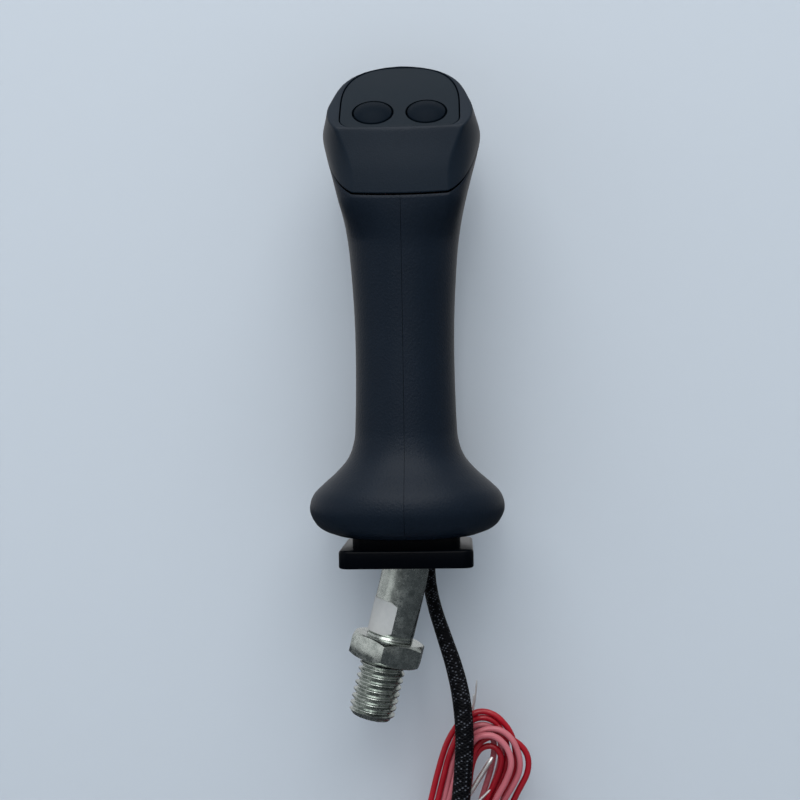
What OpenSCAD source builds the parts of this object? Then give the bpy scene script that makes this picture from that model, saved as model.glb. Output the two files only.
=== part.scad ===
// Industrial joystick grip: two half shells on a bent, threaded stud, a head cover with
// two push buttons, and a sleeved lead whose four loose wires are folded into a hank.
// The origin is on the stud's axis where the lock nut's outer face seats. +Z runs up the
// grip, and -Y is the side with the buttons.

/* [Stud] */
// Diameter of the stud and its thread
stud_d = 16; // [15:0.25:17]
// Threaded length that stands free below the lock nut
thread_free = 20; // [12:0.5:24]
// Length of thread above the lock nut
thread_above = 2; // [1:0.5:4]
// Chamfer at the stud's free end
stud_chamfer = 1.5; // [0.5:0.25:2]
// Angle of the stud's bend
bend_angle = 14.5; // [10:0.5:17]
// Radius of the bend at the stud's centre line
bend_r = 75; // [60:1:80]
// Distance from the bend's corner to the lock nut's seat
seat_drop = 35; // [32:0.5:45]
// Height of the stud's top above the base plate's underside
stud_in = 48; // [44:1:52]

/* [Lock nut] */
// Width across flats
nut_af = 24; // [22:0.5:27]
// Height of the nut
nut_h = 8; // [7:0.5:13]

/* [Base plate] */
// Side of the square plate
plate_w = 44.6; // [42:0.2:50]
// Thickness of the plate
plate_t = 6; // [5:0.25:7]
// Radius of the plate's upright corners
plate_corner_r = 3.5; // [2:0.5:5]
// Height of the groove between plate and bell
neck_gap = 3.8; // [3:0.2:5]
// Side of the square neck in the groove
neck_w = 36; // [35:0.5:38]

/* [Grip] */
// Width of the hand zone
grip_w = 34; // [32:0.5:38]
// Front to back depth of the hand zone
grip_d = 39; // [37:0.5:44]
// Height of the hand zone
hand_h = 60; // [52:1:75]
// Width of the bell
bell_w = 66.8; // [62:0.4:74]
// Front to back depth of the bell
bell_d = 62; // [58:0.5:70]
// Height of the bell
bell_h = 35.2; // [32:0.4:42]
// Wall of the half shells
shell_wall = 2.6; // [2:0.1:3]

/* [Head] */
// Width of the head
head_w = 53.8; // [52:0.2:60]
// Depth of the head in front of the grip's axis
head_front = 24.2; // [23:0.2:27]
// Depth of the head behind the grip's axis
head_back = 25.5; // [24:0.5:29]
// Height of the head
head_h = 66.2; // [64:0.4:72]
// Height of the button panel's front edge above the hand zone
panel_rise = 39.4; // [38:0.2:41]
// Slope of the button panel
panel_tilt = 45; // [42:0.5:48]
// Thickness of the head cover, square to the panel
cover_t = 15.8; // [14:0.2:18]
// Wall of the head cover
cover_wall = 2.4; // [2:0.1:3]
// Open seam between head cover and shells
seam = 0.5; // [0.3:0.05:0.8]

/* [Button panel] */
// Width of the panel
panel_w = 39.4; // [38:0.2:41]
// Thickness of the panel
panel_t = 2.5; // [2:0.1:3]
// Rim of the head cover above the panel
panel_rim = 1.2; // [0.8:0.1:2]
// Dark gap round the panel
panel_gap = 0.4; // [0.2:0.05:0.6]
// Ledge that carries the panel
panel_ledge = 1.6; // [1:0.1:2]

/* [Buttons] */
// Diameter of a button cap
button_d = 12.6; // [11:0.2:13.4]
// Gap between cap and panel
button_gap = 0.7; // [0.4:0.1:0.8]
// Distance between the two buttons
button_pitch = 17.8; // [17:0.2:18.6]
// Distance from the panel's front edge up to the buttons
button_up = 9.4; // [9:0.1:11]
// Travel of a button
button_travel = 1.6; // [1:0.1:1.8]
// Height of the domed cap above the panel
dome_h = 1.9; // [1:0.1:2.5]
// Thickness of the flange that keeps the cap in
flange_t = 1; // [0.8:0.1:1.4]

/* [Switches] */
// Width of a switch body
switch_w = 12.4; // [11:0.2:12.8]
// Depth of a switch body
switch_d = 10; // [9:0.2:11]
// Height of a switch body
switch_h = 11; // [9:0.5:12]
// Diameter of a switch plunger
plunger_d = 2.4; // [2:0.1:3]
// Wire of the return spring
spring_wire = 0.7; // [0.5:0.1:0.9]
// Turns of the return spring
spring_turns = 2.5; // [2:0.5:3]
// Thickness of the switch bracket
bracket_t = 1.6; // [1.2:0.1:2]

/* [Fasteners] */
// Shank of the screws that join the shells
shell_screw_d = 3; // [2.5:0.1:3.5]
// Shank of the screws through the base plate
plate_screw_d = 4; // [3.5:0.1:4.5]
// Shank of the bracket screws
bracket_screw_d = 2; // [1.6:0.1:2.2]
// Cross pin through socket and stud
pin_d = 5; // [4:0.25:6]
// Clearance round screws and pins
fit_gap = 0.05; // [0.03:0.01:0.1]

/* [Lead] */
// Braided sleeve over the four wires
sleeve_d = 6; // [5.4:0.1:6.4]
// One insulated wire
wire_d = 2; // [1.8:0.1:2.2]
// Wall of the heat-shrink band at the sleeve's end
shrink_wall = 0.5; // [0.3:0.1:0.8]

/* [Hidden] */
$fn = 48;
eps = 0.01;

black = "#1b1f22";
graphite = "#2a3034";
zinc = "#b9bcb6";
red = "#a51522";
pink = "#c07880";

// The grip stands on the base plate's underside; the bend's corner lies in that plane.
grip_x = seat_drop * sin(bend_angle);
grip_z = seat_drop * cos(bend_angle);
bend_tangent = bend_r * tan(bend_angle / 2);
stud_r = stud_d / 2;

// Levels above the base plate's underside
bell_z = plate_t + neck_gap;
hand_z = bell_z + bell_h;
head_z = hand_z + hand_h;
top_z = head_z + head_h;
panel_z = head_z + panel_rise;
floor_t = 3;
floor_z = bell_z + floor_t;

// Sideways shift of the stud's centre line at a height inside the grip
function stud_shift(z) = z >= bend_tangent ? 0 : pow(bend_tangent - z, 2) / (2 * bend_r);
stud_hole_gap = 0.4;
function stud_hole_r(z) = stud_r + stud_shift(z) / 2 + stud_hole_gap;

// ---- The grip's outer form: sections with a half width, a front and a back depth ----

function mix(a, b, t) = a + (b - a) * t;

// [share of the bell's height, how far the section has swelled from hand zone to bell]
BELL = [[0, 0.43], [0.048, 0.71], [0.12, 0.89], [0.247, 1], [0.39, 0.92], [0.503, 0.68],
        [0.602, 0.44], [0.716, 0.22], [0.83, 0.1], [1, 0.03]];
// [share of the head's height, swelling of the width, of the front, of the back]
HEAD = [[0, 0.15, 0.35, 0.2], [0.196, 0.34, 0.8, 0.4], [0.378, 0.63, 1, 0.66],
        [0.529, 0.9, 1, 0.9], [0.619, 1, 1, 1]];
// [share of the head's height, share of the head's half width, share of its back depth]
CROWN = [[0.695, 0.95, 0.985], [0.77, 0.87, 0.93], [0.846, 0.79, 0.82], [0.906, 0.685, 0.67],
         [0.956, 0.5, 0.46], [0.986, 0.27, 0.27], [1, 0.06, 0.1]];

KEYS = concat(
  [for (k = BELL) [bell_z + k[0] * bell_h, mix(grip_w, bell_w, k[1]) / 2,
                   mix(grip_d, bell_d, k[1]) / 2, mix(grip_d, bell_d, k[1]) / 2]],
  [[hand_z + 0.55 * hand_h, grip_w / 2, grip_d / 2, grip_d / 2]],
  [for (k = HEAD) [head_z + k[0] * head_h, mix(grip_w, head_w, k[1]) / 2,
                   mix(grip_d / 2, head_front, k[2]), mix(grip_d / 2, head_back, k[3])]],
  [for (k = CROWN) [head_z + k[0] * head_h, k[1] * head_w / 2, head_front, k[2] * head_back]]
);

function slope(i, c) =
  let (a = max(0, i - 1), b = min(len(KEYS) - 1, i + 1))
  (KEYS[b][c] - KEYS[a][c]) / (KEYS[b][0] - KEYS[a][0]);
function span(z, i = 0) = (i >= len(KEYS) - 2 || z < KEYS[i + 1][0]) ? i : span(z, i + 1);
// Value of column c at height z, on a smooth curve through the key sections
function along(z, c) =
  let (i = span(z), h = KEYS[i + 1][0] - KEYS[i][0],
       t = min(1, max(0, (z - KEYS[i][0]) / h)), u = 1 - t)
  u * u * (1 + 2 * t) * KEYS[i][c] + t * t * (1 + 2 * u) * KEYS[i + 1][c]
  + t * u * u * h * slope(i, c) - t * t * u * h * slope(i + 1, c);

function ease(a, b, z) = let (t = min(1, max(0, (z - a) / (b - a)))) t * t * (3 - 2 * t);

// The head's front is a flat facet between two creases that spread as they rise.
front_steps = 4;
side_steps = 5;
back_steps = 6;
half_steps = front_steps + side_steps + back_steps;
function head_share(z) = (z - head_z) / head_h;
function creased(z) = ease(0.05, 0.27, head_share(z));
function crease_x(z) = head_w / 2 * (0.6 + 0.26 * ease(0.36, 0.74, head_share(z)));
function side_power(z) = 6 - 3.8 * ease(0.26, 0.66, head_share(z));

function oval_pt(w, d, a) = [w * pow(cos(a), 0.9), d * pow(sin(a), 0.9)];

function section_pt(z, i, inset) =
  let (w = along(z, 1) - inset, f = along(z, 2) - inset, b = along(z, 3) - inset,
       n = front_steps + side_steps,
       c = min(crease_x(z) - inset * 0.6, w * 0.97),
       t = (i - front_steps) / side_steps,
       p = oval_pt(w, f, 90 * min(1, max(0, (n - i) / n))),
       q = i <= front_steps
         ? [c * i / front_steps, f - 0.6 * pow(i / front_steps, 2)]
         : [c + (w - c) * (1 - pow(max(0, 1 - t), side_power(z))), (f - 0.6) * (1 - t)])
  i > n ? oval_pt(w, b, 90 * (i - n) / back_steps)
        : let (m = mix(p, q, creased(z))) [m[0], -m[1]];

function section(z, inset) = concat(
  [for (i = [0 : half_steps]) section_pt(z, i, inset)],
  [for (i = [half_steps - 1 : -1 : 1]) let (p = section_pt(z, i, inset)) [-p[0], p[1]]]);

RINGS = concat(
  [for (s = [0, 0.03, 0.09, 0.17, 0.27, 0.37, 0.46, 0.55, 0.66, 0.8]) bell_z + s * bell_h],
  [for (s = [0 : 0.25 : 0.75]) hand_z + s * hand_h],
  [for (s = [0 : 0.1 : 0.7]) head_z + s * head_h],
  [for (s = [0.76, 0.82, 0.87, 0.91, 0.94, 0.965, 0.985, 1]) head_z + s * head_h]);

module loft(levels, inset) {
  n = 2 * half_steps;
  m = len(levels);
  pts = [for (z = levels) for (p = section(z, inset)) [p[0], p[1], z]];
  sides = [for (k = [0 : m - 2]) for (i = [0 : n - 1])
    let (j = (i + 1) % n, a = k * n + i, b = k * n + j, c = b + n, d = a + n)
    each [[a, c, b], [a, d, c]]];
  polyhedron(pts, concat(sides, [[for (i = [0 : n - 1]) i]],
                         [[for (i = [n - 1 : -1 : 0]) (m - 1) * n + i]]));
}

module outer_form() loft(RINGS, 0);

// Hollow inside the walls, from a floor up to just under the crown
module inner_form(floor_level, wall) {
  lid = top_z - 1.3 * wall;
  loft(concat([floor_level], [for (z = RINGS) if (z > floor_level + 0.5 && z < lid - 0.5) z],
              [lid]), wall);
}

// Everything in the grip stands in this frame.
module on_grip() translate([grip_x, 0, grip_z]) children();

// Frame of the button panel: X across, Y up the slope, Z out of the panel
module on_panel() on_grip() translate([0, -head_front, panel_z]) rotate([panel_tilt, 0, 0]) children();

big = 200;
// Half space above the seam plane, a distance below the panel's face
module above_seam(drop) on_panel() translate([-big / 2, -big / 2, -drop]) cube(big);

// ---- Base plate, grommet, socket ----

plate_screw_x = (neck_w / 2 + stud_hole_r(0)) / 2 + 0.9;
plate_head_d = plate_screw_d * 1.7;
plate_head_t = plate_screw_d * 0.6;
flange_z = floor_z;
socket_flange_t = 4;
socket_r = stud_r + 4.3;
socket_gap = 0.05;
socket_top = stud_in - 1;

module rounded_block(w, h, r) {
  linear_extrude(h) union() {
    square([w - 2 * r, w], center = true);
    square([w, w - 2 * r], center = true);
    for (x = [-1, 1]) for (y = [-1, 1]) translate([x * (w / 2 - r), y * (w / 2 - r)]) circle(r);
  }
}

// Route of the sleeve in the grip's frame
SLEEVE = [[6.6, 12.8, 24], [6.6, 12.8, 16], [6.6, 12.8, 8], [6.6, 12.8, 0], [7, 12.2, -9],
          [8.8, 10.8, -18], [12, 9, -28], [15.2, 7.4, -38], [17.4, 6, -48], [18.4, 4.8, -59],
          [18.1, 4.4, -70], [16.9, 4, -83], [15.3, 4, -96], [14, 4, -108]];
cable_x = SLEEVE[0][0];
cable_y = SLEEVE[0][1];
sleeve_end = SLEEVE[len(SLEEVE) - 1];
grommet_wall = 1;
cable_gap = 0.2;
grommet_hole_r = sleeve_d / 2 + cable_gap + grommet_wall;
grommet_lip = 0.8;

module stud_hole(z0, z1)
  translate([-stud_shift(z0) / 2, 0, z0 - eps]) cylinder(r = stud_hole_r(z0), h = z1 - z0 + 2 * eps);

module base_plate() color(black) on_grip() difference() {
  union() {
    rounded_block(plate_w, plate_t, plate_corner_r);
    rounded_block(neck_w, bell_z - eps, plate_corner_r);
  }
  stud_hole(-1, bell_z + 1);
  translate([cable_x, cable_y, -1]) cylinder(r = grommet_hole_r + fit_gap, h = bell_z + 2);
  for (s = [-1, 1]) translate([s * plate_screw_x, 0, -1]) {
    cylinder(d = plate_screw_d + 4 * fit_gap, h = bell_z + 2);
    cylinder(d = plate_head_d + 0.6, h = 1 + plate_head_t + 0.6);
  }
}

module cable_grommet() color("#111315") on_grip() translate([cable_x, cable_y, 0]) difference() {
  union() {
    translate([0, 0, -grommet_lip]) cylinder(r = grommet_hole_r, h = bell_z - 0.2 + grommet_lip);
    translate([0, 0, -grommet_lip]) cylinder(r = grommet_hole_r + 0.6, h = grommet_lip - fit_gap);
  }
  translate([0, 0, -2]) cylinder(d = sleeve_d + 2 * fit_gap, h = bell_z + 4);
}

module core_socket() color("#9a9fa3") on_grip() difference() {
  union() {
    translate([0, 0, flange_z]) cylinder(r = plate_screw_x + 4.5, h = socket_flange_t);
    translate([0, 0, flange_z]) cylinder(r = socket_r, h = socket_top - flange_z);
  }
  translate([0, 0, flange_z - 1]) cylinder(r = stud_r + socket_gap, h = socket_top);
  translate([0, 0, flange_z - 1]) cylinder(r = stud_r + 1, h = 3);
  translate([cable_x, cable_y, flange_z - 1]) cylinder(r = sleeve_d / 2 + 0.6, h = socket_top);
  for (s = [-1, 1]) translate([s * plate_screw_x, 0, flange_z - 1])
    cylinder(d = plate_screw_d + 2 * fit_gap, h = socket_flange_t + 2);
  cross_hole(pin_d + 2 * fit_gap);
}

pin_z = 38;
module cross_hole(d) translate([0, 0, pin_z]) rotate([0, 90, 0])
  translate([0, 0, -socket_r - 2]) cylinder(d = d, h = 2 * socket_r + 4);

module cross_pin() color(zinc) on_grip() translate([0, 0, pin_z]) rotate([0, 90, 0])
  translate([0, 0, -socket_r]) cylinder(d = pin_d, h = 2 * socket_r);

// ---- Half shells ----

// [y, height] of the screws that pull the shells together, from bell to head
SHELL_SCREWS = [[20, bell_z + 0.4 * bell_h], [9, hand_z + 0.35 * hand_h],
                [9, head_z], [14, head_z + 0.5 * head_h]];
shell_boss_r = shell_screw_d / 2 + 1.8;
shell_head_d = shell_screw_d * 1.85;
shell_head_t = shell_screw_d * 0.7;
shell_head_in = 5;
function shell_half_w(s) = along(s[1], 1) * pow(1 - pow(s[0] / along(s[1], 3), 2), 0.5);

module at_shell_screw(s) translate([0, s[0], s[1]]) rotate([0, 90, 0]) children();

module shell_blank() on_grip() difference() {
  outer_form();
  difference() {
    inner_form(floor_z, shell_wall);
    for (s = SHELL_SCREWS) at_shell_screw(s)
      translate([0, 0, -bell_w / 2]) cylinder(r = shell_boss_r, h = bell_w);
  }
  stud_hole(bell_z, floor_z);
  translate([cable_x, cable_y, bell_z - 1]) cylinder(r = sleeve_d / 2 + 0.6, h = floor_t + 2);
  for (s = [-1, 1]) translate([s * plate_screw_x, 0, bell_z - 1])
    cylinder(d = plate_screw_d + 4 * fit_gap, h = floor_t + 2);
}

module half_space(side) on_grip()
  translate([side < 0 ? -big : 0, -big / 2, -big / 2]) cube([big, big, big * 2]);

module grip_shell_left() color(black) difference() {
  intersection() {
    shell_blank();
    half_space(-1);
  }
  above_seam(cover_t);
  on_grip() for (s = SHELL_SCREWS) at_shell_screw(s)
    translate([0, 0, -shell_half_w(s) + shell_wall + 1])
      cylinder(d = shell_screw_d + 2 * fit_gap, h = shell_half_w(s));
}

module grip_shell_right() color(black) difference() {
  intersection() {
    shell_blank();
    half_space(1);
  }
  above_seam(cover_t);
  on_grip() for (s = SHELL_SCREWS) at_shell_screw(s) {
    translate([0, 0, -1]) cylinder(d = shell_screw_d + 4 * fit_gap, h = shell_half_w(s) + 4);
    translate([0, 0, shell_half_w(s) - shell_head_in]) cylinder(d = shell_head_d + 0.4, h = 12);
  }
}

module shell_screws() color(zinc) on_grip() for (s = SHELL_SCREWS) at_shell_screw(s) {
  head_at = shell_half_w(s) - shell_head_in;
  translate([0, 0, -head_at * 0.7]) cylinder(d = shell_screw_d, h = head_at * 1.7);
  difference() {
    translate([0, 0, head_at]) cylinder(d = shell_head_d, h = shell_head_t);
    translate([0, 0, head_at + 1]) cylinder(d = shell_screw_d * 0.8, h = 4, $fn = 6);
  }
}

module plate_screws() color(zinc) on_grip() for (s = [-1, 1]) translate([s * plate_screw_x, 0, 0])
  difference() {
    union() {
      translate([0, 0, plate_head_t]) cylinder(d = plate_screw_d, h = flange_z + socket_flange_t);
      translate([0, 0, 0.6]) cylinder(d = plate_head_d, h = plate_head_t);
    }
    translate([0, 0, -1]) cylinder(d = plate_screw_d * 0.75, h = 2.6, $fn = 6);
  }

// ---- Head cover and button panel ----

panel_len = (top_z - panel_z) / sin(panel_tilt) - panel_rim;
panel_corner_r = 4.6;
panel_wide_y = panel_len * 0.36;
crown_power = 2.6;
// Outline of the panel: round lower corners, straight sides, an arched top
function panel_outline(grow) =
  let (h = panel_w / 2 + grow, r = panel_corner_r + grow, y0 = panel_gap - grow)
  concat(
    [for (a = [-90 : 15 : 0]) [h - r + r * cos(a), y0 + r + r * sin(a)]],
    [for (a = [0 : 7.5 : 90]) let (y = panel_len - panel_wide_y + grow)
      [h * pow(cos(a), 2 / crown_power), panel_wide_y + y * pow(sin(a), 2 / crown_power)]]);
module panel_shape(grow) {
  half = panel_outline(grow);
  polygon(concat(half, [for (i = [len(half) - 2 : -1 : 0]) [-half[i][0], half[i][1]]]));
}

pocket_floor = panel_t + 0.05;
frame_t = 5;

module head_cover() color(graphite) difference() {
  intersection() {
    on_grip() outer_form();
    above_seam(cover_t - seam);
  }
  on_panel() translate([-big / 2, -big / 2, 0]) cube(big);
  on_panel() translate([0, 0, -pocket_floor]) linear_extrude(frame_t) panel_shape(panel_gap);
  on_panel() translate([0, 0, -frame_t - 1]) linear_extrude(frame_t) panel_shape(-panel_ledge);
  for (s = [-1, 1]) at_button(s) translate([0, 0, -frame_t - 1]) cylinder(r = flange_r + 0.4, h = frame_t);
  on_panel() for (y = post_y) translate([0, y, -frame_t - 1]) cylinder(r = post_r + 0.3, h = frame_t);
  intersection() {
    on_grip() inner_form(floor_z, cover_wall);
    on_panel() translate([-big / 2, -big / 2, -frame_t - big]) cube(big);
  }
}

// Levels in the panel's frame, from the face inwards
flange_top = -panel_t - 0.3;
flange_low = flange_top - flange_t;
switch_top = flange_low - button_travel - 3.6;
switch_low = switch_top - switch_h;
stem_low = flange_low - 2.2;
stem_r = 1.7;
flange_r = button_d / 2 + button_gap + 0.9;
post_y = [2.6, button_up + switch_d / 2 + 2.6];
post_r = 2;

module switch_panel() color(graphite) on_panel() difference() {
  union() {
    translate([0, 0, -panel_t]) linear_extrude(panel_t - 0.1) panel_shape(0);
    for (y = post_y) translate([0, y, switch_low]) cylinder(r = post_r, h = -switch_low - 1);
  }
  for (s = [-1, 1]) translate([s * button_pitch / 2, button_up, -panel_t - 1])
    cylinder(d = button_d + 2 * button_gap, h = panel_t + 2);
  for (s = [-1, 1]) translate([s * button_pitch / 2, button_up, switch_low - 1])
    cylinder(r = flange_r + 0.3, h = -switch_low + 1 - panel_t);
  for (y = post_y) translate([0, y, switch_low - 1])
    cylinder(d = bracket_screw_d + 2 * fit_gap, h = 8);
}

module at_button(side) on_panel() translate([side * button_pitch / 2, button_up, 0]) children();

// Domed cap with a flange below the panel and a short stem
module button(side) {
  r = button_d / 2;
  dome_r = (r * r + dome_h * dome_h) / (2 * dome_h);
  dome_a = asin(r / dome_r);
  at_button(side) rotate_extrude() polygon(concat(
    [[0, stem_low], [stem_r, stem_low], [stem_r, flange_low], [flange_r, flange_low],
     [flange_r, flange_top], [r, flange_top]],
    [for (i = [0 : 8]) let (a = dome_a * (1 - i / 8))
      [i == 8 ? 0 : dome_r * sin(a), dome_h - dome_r + dome_r * cos(a)]]));
}
module button_left() color(black) button(-1);
module button_right() color(black) button(1);

plunger_in = 4;
module plunger(side) at_button(side) translate([0, 0, switch_top - plunger_in])
  cylinder(d = plunger_d, h = stem_low - switch_top + plunger_in);
module plunger_left() color("#d8d4c8") plunger(-1);
module plunger_right() color("#d8d4c8") plunger(1);

spring_r = 4;
// Coil between the switch body and the cap's flange
module return_spring(side) {
  sides = 6;
  steps = 14 * spring_turns;
  low = switch_top + spring_wire / 2 + 0.05;
  rise = flange_low - switch_top - spring_wire - 0.1;
  pts = [for (k = [0 : steps]) for (i = [0 : sides - 1])
    let (a = 360 * spring_turns * k / steps, b = 360 * i / sides,
         r = spring_r + spring_wire / 2 * cos(b))
    [r * cos(a), r * sin(a), low + rise * k / steps + spring_wire / 2 * sin(b)]];
  at_button(side) polyhedron(pts, tube_faces(steps + 1, sides));
}
module spring_left() color(zinc) return_spring(-1);
module spring_right() color(zinc) return_spring(1);

module switch_body(side) at_button(side) difference() {
  union() {
    translate([-switch_w / 2, -switch_d / 2, switch_low]) cube([switch_w, switch_d, switch_h - 2]);
    translate([0, 0, switch_top - 2 - eps]) cylinder(d = switch_d - 0.4, h = 2 + eps);
  }
  translate([0, 0, switch_top - plunger_in - button_travel - 1])
    cylinder(d = plunger_d + 2 * fit_gap, h = switch_h);
}
module switch_left() color("#20242a") switch_body(-1);
module switch_right() color("#20242a") switch_body(1);

blade = [0.6, 2.8, 7];
blade_x = 3.2;
module blades(grow) for (s = [-1, 1]) for (t = [-1, 1]) at_button(s)
  translate([t * blade_x - blade[0] / 2 - grow, -blade[1] / 2 - grow, switch_low - blade[2]])
    cube([blade[0] + 2 * grow, blade[1] + 2 * grow, blade[2]]);
module switch_terminals() color("#c9a64e") blades(0);

bracket_w = button_pitch + switch_w;
bracket_seat = 0.02;
module switch_bracket() color("#8f9498") difference() {
  on_panel() translate([-bracket_w / 2, 0.2, switch_low - bracket_t - bracket_seat])
    cube([bracket_w, post_y[1] + 3, bracket_t]);
  blades(0.3);
  on_panel() for (y = post_y) translate([0, y, switch_low - 5])
    cylinder(d = bracket_screw_d + 4 * fit_gap, h = 6);
}

bracket_head_t = 1.2;
module bracket_screws() color(zinc) on_panel() for (y = post_y)
  translate([0, y, switch_low - bracket_t - 2 * bracket_seat]) {
    cylinder(d = bracket_screw_d, h = 7);
    translate([0, 0, -bracket_head_t]) cylinder(d = bracket_screw_d * 1.8, h = bracket_head_t);
  }

// ---- Tubes swept along points: the wires and the sleeve ----

function tube_faces(rings, sides) = concat(
  [for (k = [0 : rings - 2]) for (i = [0 : sides - 1])
    let (j = (i + 1) % sides, a = k * sides + i, b = k * sides + j, c = b + sides, d = a + sides)
    each [[a, b, c], [a, c, d]]],
  [[for (i = [sides - 1 : -1 : 0]) i]], [[for (i = [0 : sides - 1]) (rings - 1) * sides + i]]);

function unit(v) = v / norm(v);
function heading(p, k) = unit(p[min(len(p) - 1, k + 1)] - p[max(0, k - 1)]);
module tube(points, d, sides) {
  pts = [for (k = [0 : len(points) - 1])
    let (t = heading(points, k), u = unit(cross(t, [0, 1, 0.001])), v = cross(t, u))
    for (i = [0 : sides - 1]) points[k] + d / 2 * (u * cos(360 * i / sides) + v * sin(360 * i / sides))];
  polyhedron(pts, tube_faces(len(points), sides));
}

// ---- Leads inside the grip, from the sleeve's mouth to the switch blades ----

lead_y = 14;
lead_start = SLEEVE[0][2] + 0.3;
blade_end = switch_low - blade[2];
// Place of a blade's tip in the grip's frame
function blade_tip(side, t) =
  let (y = button_up, z = blade_end - 0.3 - wire_d / 2)
  [side * button_pitch / 2 + t * blade_x, -head_front + y * cos(panel_tilt) - z * sin(panel_tilt),
   panel_z + y * sin(panel_tilt) + z * cos(panel_tilt)];
function lead_route(k, side, t) =
  let (tip = blade_tip(side, t), x = (k - 1.5) * (wire_d + 0.4), bundle = 0.55 * (wire_d + 0.2))
  [[cable_x + bundle * (k < 2 ? -1 : 1), cable_y + bundle * (k % 2 == 0 ? -1 : 1), lead_start],
   [cable_x + x, lead_y + [-0.6, 1.4, -0.6, 0.6][k], lead_start + 10],
   [x + 1.2, lead_y + 0.1, socket_top + 3],
   [x, 0.5 * lead_y - 5, socket_top + 18], [x, -4, mix(socket_top, tip[2], 0.45)],
   [x * 1.2, -4, mix(socket_top, tip[2], 0.7)], [mix(x, tip[0], 0.6), 0.5 * tip[1], tip[2] - 12],
   [tip[0], tip[1], tip[2] - 3], tip];
module red_leads() color(red) on_grip() for (k = [0, 3])
  tube(lead_route(k, k == 0 ? -1 : 1, k == 0 ? -1 : 1), wire_d, 8);
module pink_leads() color(pink) on_grip() for (k = [1, 2])
  tube(lead_route(k, k == 1 ? -1 : 1, k == 1 ? 1 : -1), wire_d, 8);

// ---- Stud, lock nut and label ----

// Frame along the stud's lower, tilted part: Z points to the free end
module on_thread() rotate([0, bend_angle, 0]) mirror([0, 0, 1]) children();

// The nut's bore is the thread's inner diameter, and the stud is drawn to suit inside it.
nut_bore_r = stud_r - 0.5;
// The bend is drawn a hair thinner than the straight lengths, which reach into it.
bend_thin = 0.02;
bend_lap = 0.4;
nut_play = 0.05;

module stud() color(zinc) {
  difference() {
    union() {
      on_grip() translate([0, 0, bend_tangent - bend_lap])
        cylinder(r = stud_r, h = stud_in - bend_tangent + bend_lap);
      on_grip() translate([-bend_r, 0, bend_tangent]) rotate([90, 0, 0])
        rotate([0, 0, -bend_angle]) rotate_extrude(angle = bend_angle)
          translate([bend_r, 0]) circle(stud_r - bend_thin);
      on_thread() translate([0, 0, -seat_drop + bend_tangent - bend_lap])
        cylinder(r = stud_r, h = seat_drop - bend_tangent - nut_h - thread_above + bend_lap);
      on_thread() translate([0, 0, -nut_h - thread_above - eps])
        cylinder(r = nut_bore_r - nut_play, h = nut_h + thread_above + 2 * eps);
      on_thread() cylinder(r = stud_r, h = thread_free - stud_chamfer);
      on_thread() translate([0, 0, thread_free - stud_chamfer])
        cylinder(r1 = stud_r, r2 = stud_r - stud_chamfer, h = stud_chamfer);
    }
    on_grip() cross_hole(pin_d + 2 * fit_gap);
  }
}

// Hexagon with both ends chamfered, turned so that a corner points forwards
nut_turn = -4;
module lock_nut() color(zinc) on_thread() translate([0, 0, -nut_h]) difference() {
  intersection() {
    rotate([0, 0, 30 + nut_turn]) cylinder(d = nut_af / cos(30), h = nut_h, $fn = 6);
    nut_turned();
  }
  translate([0, 0, -1]) cylinder(r = nut_bore_r, h = nut_h + 2);
}
module nut_turned() {
  edge_r = nut_af / 2 / cos(30) + 0.2;
  face_r = nut_af / 2 - 0.4;
  drop = (edge_r - face_r) * tan(30);
  rotate_extrude() polygon([[0, 0], [face_r, 0], [edge_r, drop], [edge_r, nut_h - drop],
                            [face_r, nut_h], [0, nut_h]]);
}

label_h = 11.5;
label_t = 0.15;
label_up = 1.4;
module stud_label() color("white") on_thread() translate([0, 0, -nut_h - label_up - label_h])
  rotate([0, 0, -178]) rotate_extrude(angle = 90)
    translate([stud_r + 0.03, 0]) square([label_t, label_h]);

// ---- The lead outside the grip ----

module cable_sleeve() color("#0e1013") on_grip() tube(SLEEVE, sleeve_d, 10);

band_len = 12;
band_tip = 3;
module sleeve_band() color("#08090a") on_grip()
  translate(sleeve_end) rotate([0, 5.7, 0]) translate([0, 0, -band_tip]) difference() {
    cylinder(d = sleeve_d + 2 * shrink_wall, h = band_len);
    translate([0, 0, band_tip]) cylinder(d = sleeve_d + 0.3, h = band_len);
  }

hank_y = 8.2;
hank_t = 3 * wire_d;
hank_top = [27.3, -68];
hank_top_r = 15;
hank_low = [10.5, -124];
hank_low_r = 10.5;
module hank_outline() hull() {
  translate(hank_top) circle(hank_top_r, $fn = 32);
  translate(hank_low) circle(hank_low_r, $fn = 32);
}
module wire_hank() color(red) on_grip() translate([0, hank_y + hank_t, 0]) rotate([90, 0, 0])
  linear_extrude(hank_t) hank_outline();

wire_start_z = sleeve_end[2] - band_tip - 0.4;
// Each wire leaves the band's end and bends back into the hank
function wire_out(k) =
  let (dx = (k < 2 ? -1 : 1) * 1.2, dy = (k % 2 == 0 ? -1 : 1) * 1.2, x = sleeve_end[0] - 0.3,
       drop = k % 2 == 0 ? 1.25 : 0.85)
  [[x + dx, 4 + dy, wire_start_z], [x + dx, 4 + dy, wire_start_z - 4 * drop],
   [x + dx - 0.3, 5 + dy, wire_start_z - 8 * drop], [x + dx - 0.8, 6.6 + dy, wire_start_z - 11 * drop],
   [x + dx - 1.5, 9 + dy, wire_start_z - 13.5 * drop]];
module wire(k) on_grip() tube(wire_out(k), wire_d, 8);
module wire_red_1() color(red) wire(0);
module wire_pink_1() color(pink) wire(1);
module wire_pink_2() color(pink) wire(2);
module wire_red_2() color(red) wire(3);

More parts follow.
